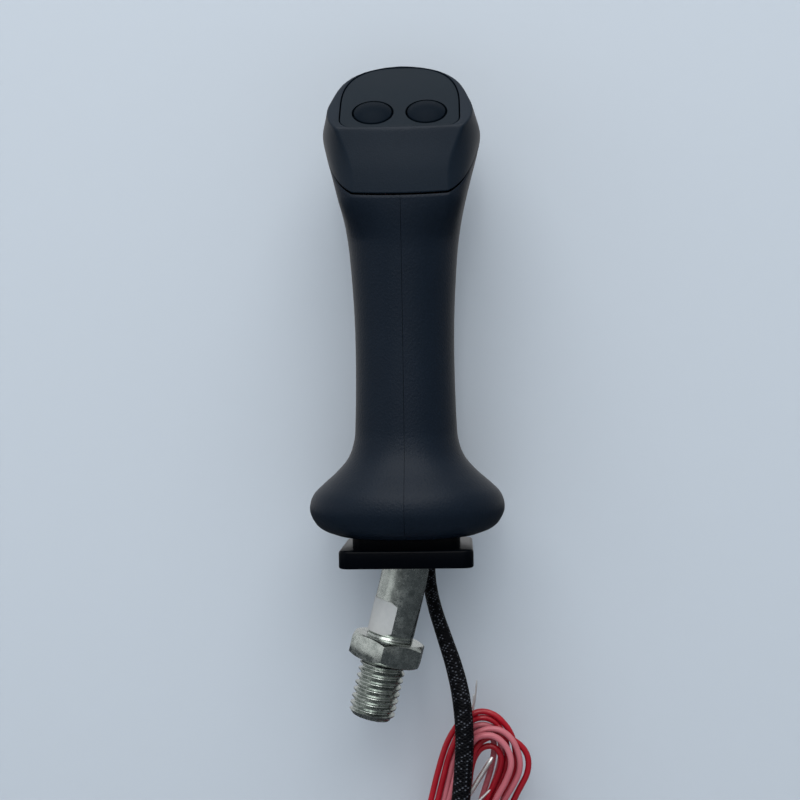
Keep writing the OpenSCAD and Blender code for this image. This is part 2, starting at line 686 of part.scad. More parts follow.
// Bare tinned ends: [lower end, upper end, diameter]
TIPS = [[[21.6, 10.6, -84], [29.2, 10.6, -69.2], 1.5], [[25, 10.6, -85.6], [30.4, 10.6, -80], 1.1],
        [[23, 12.4, -56], [24.2, 12.4, -44.2], 0.7], [[21, 12.4, -58], [21.7, 12.4, -49.8], 0.7]];
module wire_tips() color("#d8dadd") on_grip() for (t = TIPS) tube([t[0], mix(t[0], t[1], 0.5), t[1]], t[2], 8);

tie_z = -97;
tie_w = 2.6;
tie_t = 1;
// Strap round the sleeve and the hank's near limb
module hank_tie() color("#15171a") on_grip() translate([0, 0, tie_z]) linear_extrude(tie_w) difference() {
  tie_shape(tie_t);
  tie_shape(0);
}
module tie_shape(grow) translate([5.2 - grow, 0.5 - grow])
  square([13.6 + 2 * grow, hank_y + hank_t + 2 * grow]);

base_plate();
cable_grommet();
core_socket();
cross_pin();
grip_shell_left();
grip_shell_right();
shell_screws();
plate_screws();
head_cover();
switch_panel();
button_left();
button_right();
plunger_left();
plunger_right();
spring_left();
spring_right();
switch_left();
switch_right();
switch_terminals();
switch_bracket();
bracket_screws();
red_leads();
pink_leads();
stud();
lock_nut();
stud_label();
cable_sleeve();
sleeve_band();
wire_red_1();
wire_red_2();
wire_pink_1();
wire_pink_2();
wire_hank();
wire_tips();
hank_tie();
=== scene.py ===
"""Looks of an industrial joystick grip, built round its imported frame.

All pieces are made in metres where the frame's solids are. The grip's outer form repeats the
formulas of the solids at a finer spacing.
"""

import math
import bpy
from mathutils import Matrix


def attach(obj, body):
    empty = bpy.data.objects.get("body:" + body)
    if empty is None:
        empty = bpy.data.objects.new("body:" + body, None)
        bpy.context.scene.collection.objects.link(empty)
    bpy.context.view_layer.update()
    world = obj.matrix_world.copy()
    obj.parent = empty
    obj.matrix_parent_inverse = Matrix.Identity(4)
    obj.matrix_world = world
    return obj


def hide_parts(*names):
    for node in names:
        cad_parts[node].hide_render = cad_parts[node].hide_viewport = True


bl_info = {
    "name": "Industrial joystick grip",
    "version": (1, 0, 0),
    "blender": (4, 5, 0),
    "location": "3D View > Sidebar > Joystick",
    "description": "Dresses a joystick grip with push buttons, a bent stud and a lead",
    "category": "Object",
}

import bpy
from bpy.props import FloatProperty, FloatVectorProperty, PointerProperty
from mathutils import Matrix, Quaternion, Vector, kdtree

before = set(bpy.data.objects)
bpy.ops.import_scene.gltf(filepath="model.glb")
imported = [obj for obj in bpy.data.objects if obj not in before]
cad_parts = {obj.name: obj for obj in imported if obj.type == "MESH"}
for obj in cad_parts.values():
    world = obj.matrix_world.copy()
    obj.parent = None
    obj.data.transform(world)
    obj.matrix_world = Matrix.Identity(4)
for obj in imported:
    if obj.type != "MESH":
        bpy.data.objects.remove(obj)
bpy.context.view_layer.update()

MM = 0.001

# ---- The grip's form, in millimetres above the base plate's underside ----

BEND = math.radians(14.5)
SEAT_DROP = 35.0
GRIP_X = SEAT_DROP * math.sin(BEND)
GRIP_Z = SEAT_DROP * math.cos(BEND)
BEND_R = 75.0
BEND_TANGENT = BEND_R * math.tan(BEND / 2)
STUD_TOP = 48.0

PLATE_W, PLATE_T, PLATE_CORNER = 44.6, 6.0, 3.5
NECK_W = 36.0
BELL_Z = 9.8
BELL_H, HAND_H, HEAD_H = 35.2, 60.0, 66.2
HAND_Z = BELL_Z + BELL_H
HEAD_Z = HAND_Z + HAND_H
TOP_Z = HEAD_Z + HEAD_H
GRIP_W, GRIP_D = 34.0, 39.0
BELL_W, BELL_D = 66.8, 62.0
HEAD_W, HEAD_FRONT, HEAD_BACK = 53.8, 24.2, 25.5
PANEL_Z = HEAD_Z + 39.4
SLOPE = math.radians(45)
COVER_T, SEAM = 15.8, 0.5
WALL = 2.4

PANEL_W = 39.4
PANEL_LEN = (TOP_Z - PANEL_Z) / math.sin(SLOPE) - 1.2
PANEL_T = 2.5
PANEL_GAP = 0.4
PANEL_CORNER = 4.6
PANEL_FRONT = 0.95
POCKET_FRONT = 0.8
CROWN_POWER = 2.6

# Share of the bell's height, and how far the section has swelled from hand zone to bell
BELL = [(0, 0.43), (0.048, 0.71), (0.12, 0.89), (0.247, 1), (0.39, 0.92), (0.503, 0.68),
        (0.602, 0.44), (0.716, 0.22), (0.83, 0.1), (1, 0.03)]
# Share of the head's height, and the swelling of width, front and back
HEAD = [(0, 0.15, 0.35, 0.2), (0.196, 0.34, 0.8, 0.4), (0.378, 0.63, 1, 0.66),
        (0.529, 0.9, 1, 0.9), (0.619, 1, 1, 1)]
# Share of the head's height, of its half width and of its back depth
CROWN = [(0.695, 0.95, 0.985), (0.77, 0.87, 0.93), (0.846, 0.79, 0.82), (0.906, 0.685, 0.67),
         (0.956, 0.5, 0.46), (0.986, 0.27, 0.27), (1, 0.06, 0.1)]


def mix(a, b, t):
    """Value between a and b."""
    return a + (b - a) * t


def ease(a, b, z):
    """Smooth step from 0 at a to 1 at b."""
    t = min(1.0, max(0.0, (z - a) / (b - a)))
    return t * t * (3 - 2 * t)


KEYS = (
    [(BELL_Z + s * BELL_H, mix(GRIP_W, BELL_W, k) / 2, mix(GRIP_D, BELL_D, k) / 2,
      mix(GRIP_D, BELL_D, k) / 2) for s, k in BELL]
    + [(HAND_Z + 0.55 * HAND_H, GRIP_W / 2, GRIP_D / 2, GRIP_D / 2)]
    + [(HEAD_Z + s * HEAD_H, mix(GRIP_W, HEAD_W, w) / 2, mix(GRIP_D / 2, HEAD_FRONT, f),
        mix(GRIP_D / 2, HEAD_BACK, b)) for s, w, f, b in HEAD]
    + [(HEAD_Z + s * HEAD_H, w * HEAD_W / 2, HEAD_FRONT, b * HEAD_BACK) for s, w, b in CROWN]
)


def slope(i, c):
    """Steepness of column c at key section i."""
    a, b = max(0, i - 1), min(len(KEYS) - 1, i + 1)
    return (KEYS[b][c] - KEYS[a][c]) / (KEYS[b][0] - KEYS[a][0])


def along(z, c):
    """Half width, front or back depth at a height, on a smooth curve through the keys."""
    i = 0
    while i < len(KEYS) - 2 and z >= KEYS[i + 1][0]:
        i += 1
    h = KEYS[i + 1][0] - KEYS[i][0]
    t = min(1.0, max(0.0, (z - KEYS[i][0]) / h))
    u = 1 - t
    return (u * u * (1 + 2 * t) * KEYS[i][c] + t * t * (1 + 2 * u) * KEYS[i + 1][c]
            + t * u * u * h * slope(i, c) - t * t * u * h * slope(i + 1, c))


FRONT_STEPS, SIDE_STEPS, BACK_STEPS = 4, 5, 6


def oval(w, d, angle):
    """Point of the plain oval section."""
    return (w * max(0.0, math.cos(angle)) ** 0.9, d * max(0.0, math.sin(angle)) ** 0.9)


def section(z, i, inset=0.0):
    """Point i, from 0 at the front to HALF_STEPS at the back, of the section at a height."""
    share = (z - HEAD_Z) / HEAD_H
    w, f, b = (along(z, c) - inset for c in (1, 2, 3))
    n = FRONT_STEPS + SIDE_STEPS
    if i > n:
        return oval(w, b, math.radians(90 * (i - n) / BACK_STEPS))
    x, y = oval(w, f, math.radians(90 * min(1.0, (n - i) / n)))
    creased = ease(0.05, 0.27, share)
    if creased > 0:
        crease = HEAD_W / 2 * (0.6 + 0.26 * ease(0.36, 0.74, share))
        c = min(crease - inset * 0.6, w * 0.97)
        if i <= FRONT_STEPS:
            q = (c * i / FRONT_STEPS, f - 0.6 * (i / FRONT_STEPS) ** 2)
        else:
            t = (i - FRONT_STEPS) / SIDE_STEPS
            power = 6 - 3.8 * ease(0.26, 0.66, share)
            q = (c + (w - c) * (1 - max(0.0, 1 - t) ** power), (f - 0.6) * (1 - t))
        x, y = mix(x, q[0], creased), mix(y, q[1], creased)
    return (x, -y)


def skin(z, i, inset=0.0):
    """Section point with its crease rounded to a small radius."""
    if abs(i - FRONT_STEPS) < 0.6 and z > HEAD_Z:
        reach = 0.16
        points = [section(z, i + d * reach, inset) for d in (-1, -0.5, 0, 0.5, 1)]
        weights = (1, 2, 2, 2, 1)
        total = sum(weights)
        return Vector((sum(p[0] * k for p, k in zip(points, weights)) / total,
                       sum(p[1] * k for p, k in zip(points, weights)) / total, z))
    x, y = section(z, i, inset)
    return Vector((x, y, z))


def steps(*pairs):
    """Rising values: each pair is an end value and a count of steps up to it."""
    out = [0.0]
    for end, count in pairs:
        start = out[-1]
        out += [mix(start, end, (k + 1) / count) for k in range(count)]
    return out


# Places round a half section, closer together at the crease
ROUND = steps((3.6, 8), (4.4, 14), (9, 20), (15, 26))


def row(v):
    """Point of the grip's frame, in millimetres, as a point of the row frame in metres."""
    return Vector((v[0] + GRIP_X, v[1], v[2] + GRIP_Z)) * MM


PANEL_UP = Vector((0, math.cos(SLOPE), math.sin(SLOPE)))
PANEL_OUT = Vector((0, -math.sin(SLOPE), math.cos(SLOPE)))
PANEL_ORIGIN = Vector((0, -HEAD_FRONT, PANEL_Z))


def over_panel(p):
    """Height of a grip point above the button panel's plane."""
    return (p - PANEL_ORIGIN).dot(PANEL_OUT)


def on_panel(x, y, z):
    """Grip point from a place across, up and out of the button panel."""
    return PANEL_ORIGIN + Vector((x, 0, 0)) + PANEL_UP * y + PANEL_OUT * z


PANEL_MATRIX = Matrix.Translation(row(PANEL_ORIGIN)) @ Matrix.Rotation(SLOPE, 4, "X")


def level_at(i, height, inset=0.0):
    """Height at which the skin's line i crosses a plane over or under the panel's plane."""
    low, high = HEAD_Z - 5, TOP_Z
    for _ in range(26):
        z = (low + high) / 2
        if over_panel(skin(z, i, inset)) < height:
            low = z
        else:
            high = z
    return (low + high) / 2


def panel_outline(grow, front, count=14):
    """Right half of the panel's outline, from the front's middle to the top's middle."""
    half, r = PANEL_W / 2 + grow, PANEL_CORNER + grow
    wide = PANEL_LEN * 0.36
    rise = PANEL_LEN - wide + grow
    points = [(0.0, front)]
    points += [(half - r + r * math.cos(a), front + r + r * math.sin(a))
               for a in (math.radians(-90 + 90 * k / count) for k in range(count + 1))]
    top = [(half * math.cos(a) ** (2 / CROWN_POWER), wide + rise * math.sin(a) ** (2 / CROWN_POWER))
           for a in (math.radians(90 * k / (2 * count)) for k in range(2 * count))]
    return points + top + [(0.0, wide + rise)]


# ---- Working by hand with primitives, edit mode and modifiers ----


def clear_selection():
    """Leaves nothing selected, in object mode."""
    if bpy.context.object and bpy.context.object.mode != "OBJECT":
        bpy.ops.object.mode_set(mode="OBJECT")
    bpy.ops.object.select_all(action="DESELECT")


def pick(obj):
    """Makes obj the only selected object."""
    clear_selection()
    obj.select_set(True)
    bpy.context.view_layer.objects.active = obj


def edit_all(obj):
    """Goes into edit mode with the whole mesh selected."""
    pick(obj)
    bpy.ops.object.mode_set(mode="EDIT")
    bpy.ops.mesh.select_all(action="SELECT")


def select_where(obj, kind, test):
    """In edit mode, selects only the vertices, edges or faces that pass the test."""
    bpy.ops.mesh.select_all(action="DESELECT")
    bpy.ops.mesh.select_mode(type={"vertices": "VERT", "edges": "EDGE", "polygons": "FACE"}[kind])
    bpy.ops.object.mode_set(mode="OBJECT")
    for item in getattr(obj.data, kind):
        item.select = test(item)
    bpy.ops.object.mode_set(mode="EDIT")


def tidy_mesh(obj, distance=0.000001):
    """Merges doubled points and turns the faces outwards."""
    edit_all(obj)
    bpy.ops.mesh.remove_doubles(threshold=distance)
    bpy.ops.mesh.normals_make_consistent(inside=False)
    bpy.ops.object.mode_set(mode="OBJECT")


def modify(obj, kind, **settings):
    """Adds a modifier and applies it."""
    pick(obj)
    modifier = obj.modifiers.new(kind.title(), kind)
    for name, value in settings.items():
        setattr(modifier, name, value)
    bpy.ops.object.modifier_apply(modifier=modifier.name)


def cut_with(obj, tool, operation="DIFFERENCE", solver="EXACT"):
    """Cuts, joins or trims obj with another mesh, which is then deleted."""
    modify(obj, "BOOLEAN", operation=operation, object=tool, solver=solver)
    bpy.data.objects.remove(tool, do_unlink=True)


def join(obj, others):
    """Joins other meshes into obj."""
    clear_selection()
    for other in others:
        other.select_set(True)
    obj.select_set(True)
    bpy.context.view_layer.objects.active = obj
    bpy.ops.object.join()


def copy_of(obj, name, matrix):
    """Copy with a mesh of its own, moved by a matrix."""
    pick(obj)
    bpy.ops.object.duplicate(linked=False)
    other = bpy.context.object
    other.name = other.data.name = name
    other.data.transform(matrix)
    return other


def grid(name, columns, rows, place):
    """Grid primitive whose points are laid on a surface: place gets a column and a row."""
    clear_selection()
    bpy.ops.mesh.primitive_grid_add(x_subdivisions=columns - 1, y_subdivisions=rows - 1, size=2)
    obj = bpy.context.object
    obj.name = obj.data.name = name
    for v in obj.data.vertices:
        c = round((v.co.x + 1) / 2 * (columns - 1))
        r = round((v.co.y + 1) / 2 * (rows - 1))
        v.co = place(c, r)
    return obj


def cylinder(name, radius, depth, centre, sides=48, matrix=None):
    """Cylinder primitive with its place in its mesh, in millimetres."""
    clear_selection()
    bpy.ops.mesh.primitive_cylinder_add(vertices=sides, radius=radius * MM, depth=depth * MM)
    obj = bpy.context.object
    obj.name = obj.data.name = name
    obj.data.transform(Matrix.Translation(Vector(centre) * MM))
    if matrix is not None:
        obj.data.transform(matrix)
    return obj


def lathe(name, profile, sides=72):
    """Turned piece about Z, from the profile's (radius, height) points in millimetres."""
    def place(c, r):
        a = 2 * math.pi * c / sides
        radius, z = profile[r]
        return Vector((radius * math.cos(a), radius * math.sin(a), z)) * MM
    obj = grid(name, sides + 1, len(profile), place)
    tidy_mesh(obj)
    return obj


def smooth(obj, angle=35):
    """Smooth shading, sharp where faces meet at more than the angle."""
    pick(obj)
    bpy.ops.object.shade_smooth_by_angle(angle=math.radians(angle))


def piece(obj, material, body, slot, *nodes):
    """Gives a finished piece its material and body, and hides what it replaces."""
    obj.data.materials.clear()
    obj.data.materials.append(material)
    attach(obj, body)
    if nodes:
        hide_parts(*nodes)
    return obj


# ---- Materials ----


def linear(code):
    """Linear colour from an sRGB hex code."""
    parts = [int(code[i:i + 2], 16) / 255 for i in (1, 3, 5)]
    return [p / 12.92 if p <= 0.04045 else ((p + 0.055) / 1.055) ** 2.4 for p in parts] + [1.0]


def add(tree, kind, links=None, **settings):
    """Adds a node with its settings, and its inputs as values or as other nodes' outputs."""
    node = tree.nodes.new(kind)
    for name, value in settings.items():
        setattr(node, name, value)
    for socket, value in (links or {}).items():
        if isinstance(value, bpy.types.NodeSocket):
            tree.links.new(value, node.inputs[socket])
        else:
            node.inputs[socket].default_value = value
    return node


def new_material(name):
    """Material with an empty tree, and its output node."""
    material = bpy.data.materials.new(name)
    material.use_nodes = True
    tree = material.node_tree
    tree.nodes.clear()
    return material, tree


def close(tree, shader):
    """Ends a tree with its surface shader."""
    add(tree, "ShaderNodeOutputMaterial", {"Surface": shader.outputs["BSDF"]})


def per_mm(size):
    """Texture scale on metre coordinates for features of a size in millimetres."""
    return 1000.0 / size


def moulded(name, dark, light, grain_mm, depth, roughness, rough_spread=0.08, shine=0.25,
            fleck=0.0):
    """Moulded plastic: a grain pressed by the mould, a little colour drift and uneven gloss."""
    material, tree = new_material(name)
    where = add(tree, "ShaderNodeTexCoord").outputs["Object"]
    grain = add(tree, "ShaderNodeTexVoronoi", {"Vector": where, "Scale": per_mm(grain_mm)},
                feature="SMOOTH_F1").outputs["Distance"]
    fine = add(tree, "ShaderNodeTexNoise", {"Vector": where, "Scale": per_mm(grain_mm * 0.7),
                                            "Detail": 3.0, "Roughness": 0.6}).outputs["Fac"]
    cloud = add(tree, "ShaderNodeTexNoise", {"Vector": where, "Scale": per_mm(14.0),
                                             "Detail": 2.0}).outputs["Fac"]
    height = add(tree, "ShaderNodeMath", {0: grain, 1: fine}, operation="MULTIPLY").outputs[0]
    tone = add(tree, "ShaderNodeMath", {0: cloud, 1: 0.5}, operation="MULTIPLY").outputs[0]
    tone = add(tree, "ShaderNodeMath", {0: fine, 1: fleck, 2: tone},
               operation="MULTIPLY_ADD").outputs[0]
    colour = add(tree, "ShaderNodeMix", {0: tone, 6: linear(dark), 7: linear(light)},
                 data_type="RGBA").outputs[2]
    rough = add(tree, "ShaderNodeMapRange", {"Value": fine, "To Min": roughness - rough_spread,
                                             "To Max": roughness + rough_spread}).outputs[0]
    bump = add(tree, "ShaderNodeBump", {"Height": height, "Strength": depth,
                                        "Distance": grain_mm * 0.2 * MM}).outputs[0]
    close(tree, add(tree, "ShaderNodeBsdfPrincipled", {
        "Base Color": colour, "Roughness": rough, "Specular IOR Level": shine,
        "Normal": bump}))
    return material


def plated_steel(name):
    """Zinc-plated steel: dull, slightly green-grey, with a crystalline sparkle and the patches
    that handling leaves."""
    material, tree = new_material(name)
    where = add(tree, "ShaderNodeTexCoord").outputs["Object"]
    patch = add(tree, "ShaderNodeTexNoise", {"Vector": where, "Scale": per_mm(3.0),
                                             "Detail": 4.0, "Roughness": 0.65}).outputs["Fac"]
    grit = add(tree, "ShaderNodeTexVoronoi", {"Vector": where, "Scale": per_mm(0.3)},
               feature="F1").outputs["Color"]
    spark = add(tree, "ShaderNodeSeparateColor", {"Color": grit}).outputs["Red"]
    tone = add(tree, "ShaderNodeMath", {0: spark, 1: 0.3, 2: patch},
               operation="MULTIPLY_ADD").outputs[0]
    colour = add(tree, "ShaderNodeValToRGB", {"Fac": tone})
    colour.color_ramp.elements[0].position = 0.4
    colour.color_ramp.elements[0].color = linear("#838a86")
    colour.color_ramp.elements[1].position = 0.9
    colour.color_ramp.elements[1].color = linear("#c6ccc7")
    rough = add(tree, "ShaderNodeMapRange", {"Value": tone, "From Min": 0.4, "From Max": 0.9,
                                             "To Min": 0.14, "To Max": 0.32}).outputs[0]
    pits = add(tree, "ShaderNodeTexNoise", {"Vector": where, "Scale": per_mm(0.35),
                                            "Detail": 3.0, "Roughness": 0.7}).outputs["Fac"]
    bump = add(tree, "ShaderNodeBump", {"Height": pits, "Strength": 0.4,
                                        "Distance": 0.05 * MM}).outputs[0]
    close(tree, add(tree, "ShaderNodeBsdfPrincipled", {
        "Base Color": colour.outputs["Color"], "Metallic": 1.0, "Roughness": rough,
        "Normal": bump}))
    return material


def bare_metal(name, code, roughness, grain_mm=0.8):
    """Plain machined or stamped metal with faint uneven gloss."""
    material, tree = new_material(name)
    where = add(tree, "ShaderNodeTexCoord").outputs["Object"]
    cloud = add(tree, "ShaderNodeTexNoise", {"Vector": where, "Scale": per_mm(grain_mm),
                                             "Detail": 3.0}).outputs["Fac"]
    rough = add(tree, "ShaderNodeMapRange", {"Value": cloud, "To Min": roughness - 0.1,
                                             "To Max": roughness + 0.1}).outputs[0]
    bump = add(tree, "ShaderNodeBump", {"Height": cloud, "Strength": 0.15,
                                        "Distance": 0.03 * MM}).outputs[0]
    close(tree, add(tree, "ShaderNodeBsdfPrincipled", {
        "Base Color": linear(code), "Metallic": 1.0, "Roughness": rough, "Normal": bump}))
    return material


def insulation(name, dark, light, length_mm):
    """Extruded silicone insulation: glossy, with a slow change of tone along the wire."""
    material, tree = new_material(name)
    where = add(tree, "ShaderNodeTexCoord").outputs["Object"]
    cloud = add(tree, "ShaderNodeTexNoise", {"Vector": where, "Scale": per_mm(length_mm),
                                             "Detail": 1.0}).outputs["Fac"]
    skin_noise = add(tree, "ShaderNodeTexNoise", {"Vector": where, "Scale": per_mm(0.5),
                                                  "Detail": 2.0}).outputs["Fac"]
    colour = add(tree, "ShaderNodeValToRGB", {"Fac": cloud})
    colour.color_ramp.elements[0].position = 0.3
    colour.color_ramp.elements[0].color = linear(dark)
    colour.color_ramp.elements[1].position = 0.7
    colour.color_ramp.elements[1].color = linear(light)
    bump = add(tree, "ShaderNodeBump", {"Height": skin_noise, "Strength": 0.12,
                                        "Distance": 0.05 * MM}).outputs[0]
    close(tree, add(tree, "ShaderNodeBsdfPrincipled", {
        "Base Color": colour.outputs["Color"], "Roughness": 0.34, "Specular IOR Level": 0.35,
        "Normal": bump}))
    return material


def braided(name, length_mm, around=10, strand_mm=1.5):
    """Braided polyester sleeve: two sets of crossing strands, black, with a few random strands
    painted paler where the weave rises highest, as painted glints.
    """
    material, tree = new_material(name)
    split = add(tree, "ShaderNodeSeparateXYZ", {"Vector": add(
        tree, "ShaderNodeTexCoord").outputs["UV"]})
    u, v = split.outputs["X"], split.outputs["Y"]
    turns = length_mm / (strand_mm * around)
    lap = add(tree, "ShaderNodeMath", {0: u, 1: around}, operation="MULTIPLY").outputs[0]

    def strands(sign):
        """Number of the strand at a point, of those that run one way, and its height there."""
        phase = add(tree, "ShaderNodeMath", {0: v, 1: sign * turns * around, 2: lap},
                    operation="MULTIPLY_ADD").outputs[0]
        angle = add(tree, "ShaderNodeMath", {0: phase, 1: 2 * math.pi},
                    operation="MULTIPLY").outputs[0]
        wave = add(tree, "ShaderNodeMath", {0: angle}, operation="SINE").outputs[0]
        rise = add(tree, "ShaderNodeMath", {0: wave, 1: 0.5, 2: 0.5},
                   operation="MULTIPLY_ADD").outputs[0]
        return add(tree, "ShaderNodeMath", {0: phase}, operation="FLOOR").outputs[0], rise

    strand_a, rise_a = strands(1.0)
    strand_b, rise_b = strands(-1.0)
    cell = add(tree, "ShaderNodeCombineXYZ", {"X": strand_a, "Y": strand_b}).outputs[0]
    chance = add(tree, "ShaderNodeTexWhiteNoise", {"Vector": cell},
                 noise_dimensions="3D").outputs["Value"]
    picked = add(tree, "ShaderNodeMath", {0: chance, 1: 0.62},
                 operation="GREATER_THAN").outputs[0]
    # A few random strands are painted paler where both strand sets rise highest: painted glints on
    # the weave's crowns
    over = add(tree, "ShaderNodeMath", {0: rise_a, 1: rise_b}, operation="MULTIPLY").outputs[0]
    over = add(tree, "ShaderNodeMath", {0: over, 1: 2.0}, operation="POWER").outputs[0]
    painted_glint_mask = add(tree, "ShaderNodeMath", {0: picked, 1: over}, operation="MULTIPLY").outputs[0]
    height = add(tree, "ShaderNodeMath", {0: rise_a, 1: rise_b}, operation="MAXIMUM").outputs[0]
    # Dark braid colour, and the pale colour of the painted glints
    colour = add(tree, "ShaderNodeValToRGB", {"Fac": painted_glint_mask})
    colour.color_ramp.elements[0].position = 0.0
    colour.color_ramp.elements[0].color = linear("#020307")
    colour.color_ramp.elements[1].position = 1.0
    colour.color_ramp.elements[1].color = linear("#585c64")
    bump = add(tree, "ShaderNodeBump", {"Height": height, "Strength": 0.9,
                                        "Distance": 0.25 * MM}).outputs[0]
    close(tree, add(tree, "ShaderNodeBsdfPrincipled", {
        "Base Color": colour.outputs["Color"], "Roughness": 0.55, "Specular IOR Level": 0.1,
        "Normal": bump}))
    return material


def paper(name):
    """White gloss sticker paper, faintly mottled."""
    material, tree = new_material(name)
    where = add(tree, "ShaderNodeTexCoord").outputs["Object"]
    cloud = add(tree, "ShaderNodeTexNoise", {"Vector": where, "Scale": per_mm(2.0),
                                             "Detail": 3.0}).outputs["Fac"]
    colour = add(tree, "ShaderNodeValToRGB", {"Fac": cloud})
    colour.color_ramp.elements[0].color = linear("#a9acac")
    colour.color_ramp.elements[1].color = linear("#bcbebd")
    close(tree, add(tree, "ShaderNodeBsdfPrincipled", {
        "Base Color": colour.outputs["Color"], "Roughness": 0.4}))
    return material


# ---- Sizes and colours a user would change ----


class JoystickSizes(bpy.types.PropertyGroup):
    """Sizes of the scene's own pieces"""
    stud_d: FloatProperty(name="Stud diameter", description="Major diameter of the stud's thread",
                          default=0.016, min=0.012, max=0.02, subtype="DISTANCE", unit="LENGTH")
    thread_pitch: FloatProperty(name="Thread pitch", description="Advance of the thread in a turn",
                                default=0.0024, min=0.001, max=0.003, subtype="DISTANCE",
                                unit="LENGTH")
    thread_depth: FloatProperty(name="Thread depth", description="Depth of the thread's groove",
                                default=0.0012, min=0.0005, max=0.002, subtype="DISTANCE",
                                unit="LENGTH")
    nut_af: FloatProperty(name="Nut width", description="Width of the lock nut across its flats",
                          default=0.024, min=0.02, max=0.03, subtype="DISTANCE", unit="LENGTH")
    nut_h: FloatProperty(name="Nut height", description="Height of the lock nut",
                         default=0.008, min=0.006, max=0.012, subtype="DISTANCE", unit="LENGTH")
    button_d: FloatProperty(name="Button diameter", description="Diameter of a push button's cap",
                            default=0.0126, min=0.011, max=0.0134, subtype="DISTANCE",
                            unit="LENGTH")
    wire_d: FloatProperty(name="Wire diameter", description="Diameter of one insulated wire",
                          default=0.00215, min=0.0015, max=0.0025, subtype="DISTANCE",
                          unit="LENGTH")
    sleeve_d: FloatProperty(name="Sleeve diameter", description="Diameter of the braided sleeve",
                            default=0.0065, min=0.005, max=0.007, subtype="DISTANCE",
                            unit="LENGTH")
    grip_grain: FloatProperty(name="Grip grain",
                              description="Width of one bump of the grip's grain",
                              default=0.0007, min=0.0003, max=0.002, subtype="DISTANCE",
                              unit="LENGTH")


class JoystickColours(bpy.types.PropertyGroup):
    """Colours of the backdrop and the light"""
    backdrop: FloatVectorProperty(name="Backdrop",
                                  description="Colour of the paper behind and below",
                                  default=linear("#bbc3cb")[:3], size=3, min=0, max=1,
                                  subtype="COLOR")
    sky: FloatVectorProperty(name="Surroundings", description="Colour of the light all round",
                             default=linear("#f2f4f7")[:3], size=3, min=0, max=1, subtype="COLOR")


def sizes():
    """The scene's size settings."""
    return bpy.context.scene.joystick_sizes


# ---- Routes of the lead, in millimetres of the grip's frame ----

SLEEVE = [(6.6, 12.8, 24), (6.6, 12.8, 16), (6.6, 12.8, 8), (6.6, 12.8, 0), (7, 12.2, -9),
          (8.8, 10.8, -18), (12, 9, -28), (15.2, 7.4, -38), (17.4, 6, -48), (18.4, 4.8, -59),
          (18.1, 4.4, -70), (16.9, 4, -83), (15.3, 4, -96), (14, 4, -108)]


def arc(x0, x1, z, y0, y1, count=8):
    """Half turn below a height, from x0 round to x1, while the depth goes from y0 to y1."""
    c, r = (x0 + x1) / 2, (x0 - x1) / 2
    return [(c + r * math.cos(math.pi * k / count), mix(y0, y1, k / count),
             z - r * math.sin(math.pi * k / count)) for k in range(count + 1)]


RED_1 = (
    [(12.5, 2.8, -111.4), (12.4, 2.9, -115), (11, 4.2, -119.5), (8, 6.6, -122), (4.6, 9, -121.5),
     (2.2, 10.7, -117), (3, 11, -109), (6.8, 11, -100), (11.8, 11, -91.5), (16, 11, -84),
     (18.8, 11, -78), (20.2, 11, -72.6), (21.8, 11, -68), (24, 11, -65.1), (26.7, 11, -63.5),
     (29.9, 11, -62.7), (32.9, 11, -63.2), (35.8, 11, -64.7), (38.5, 11, -66.8),
     (40.3, 11, -69.7), (40.8, 11, -73), (40, 11, -76.9), (37.9, 11, -80.8), (35.4, 11, -85.6),
     (31.6, 11, -94), (27.6, 11, -103), (23.4, 11, -113)]
    + arc(20, 1, -124, 11, 13.2)
    + [(1.2, 13.2, -114), (2.9, 13.2, -101), (4.8, 13.2, -92), (6.6, 13.2, -85), (8.7, 13.2, -76.8),
       (11.6, 13.2, -67.4), (14.4, 13.2, -62), (17.2, 13.2, -58.4), (20.3, 13.2, -56.3),
       (23.2, 13.2, -55.1), (25.8, 13.2, -55), (28.3, 13.2, -55.7), (30.6, 13.2, -57.1),
       (32.6, 13.2, -59.2), (34.3, 13.2, -61.8), (35.5, 13.2, -64.6), (36.2, 13.2, -67.8),
       (36.4, 13.2, -71), (36, 13.2, -74.6), (34.8, 13.2, -78.8), (31.8, 13.2, -86),
       (28.4, 13.2, -94), (24.6, 13.2, -104), (21.6, 13.2, -114)]
    + arc(20, 1, -124, 13.2, 19.8)
    + [(1.8, 19.8, -114), (5, 19.8, -101), (9, 19.8, -88), (13, 19.8, -76), (17, 19.7, -66)])

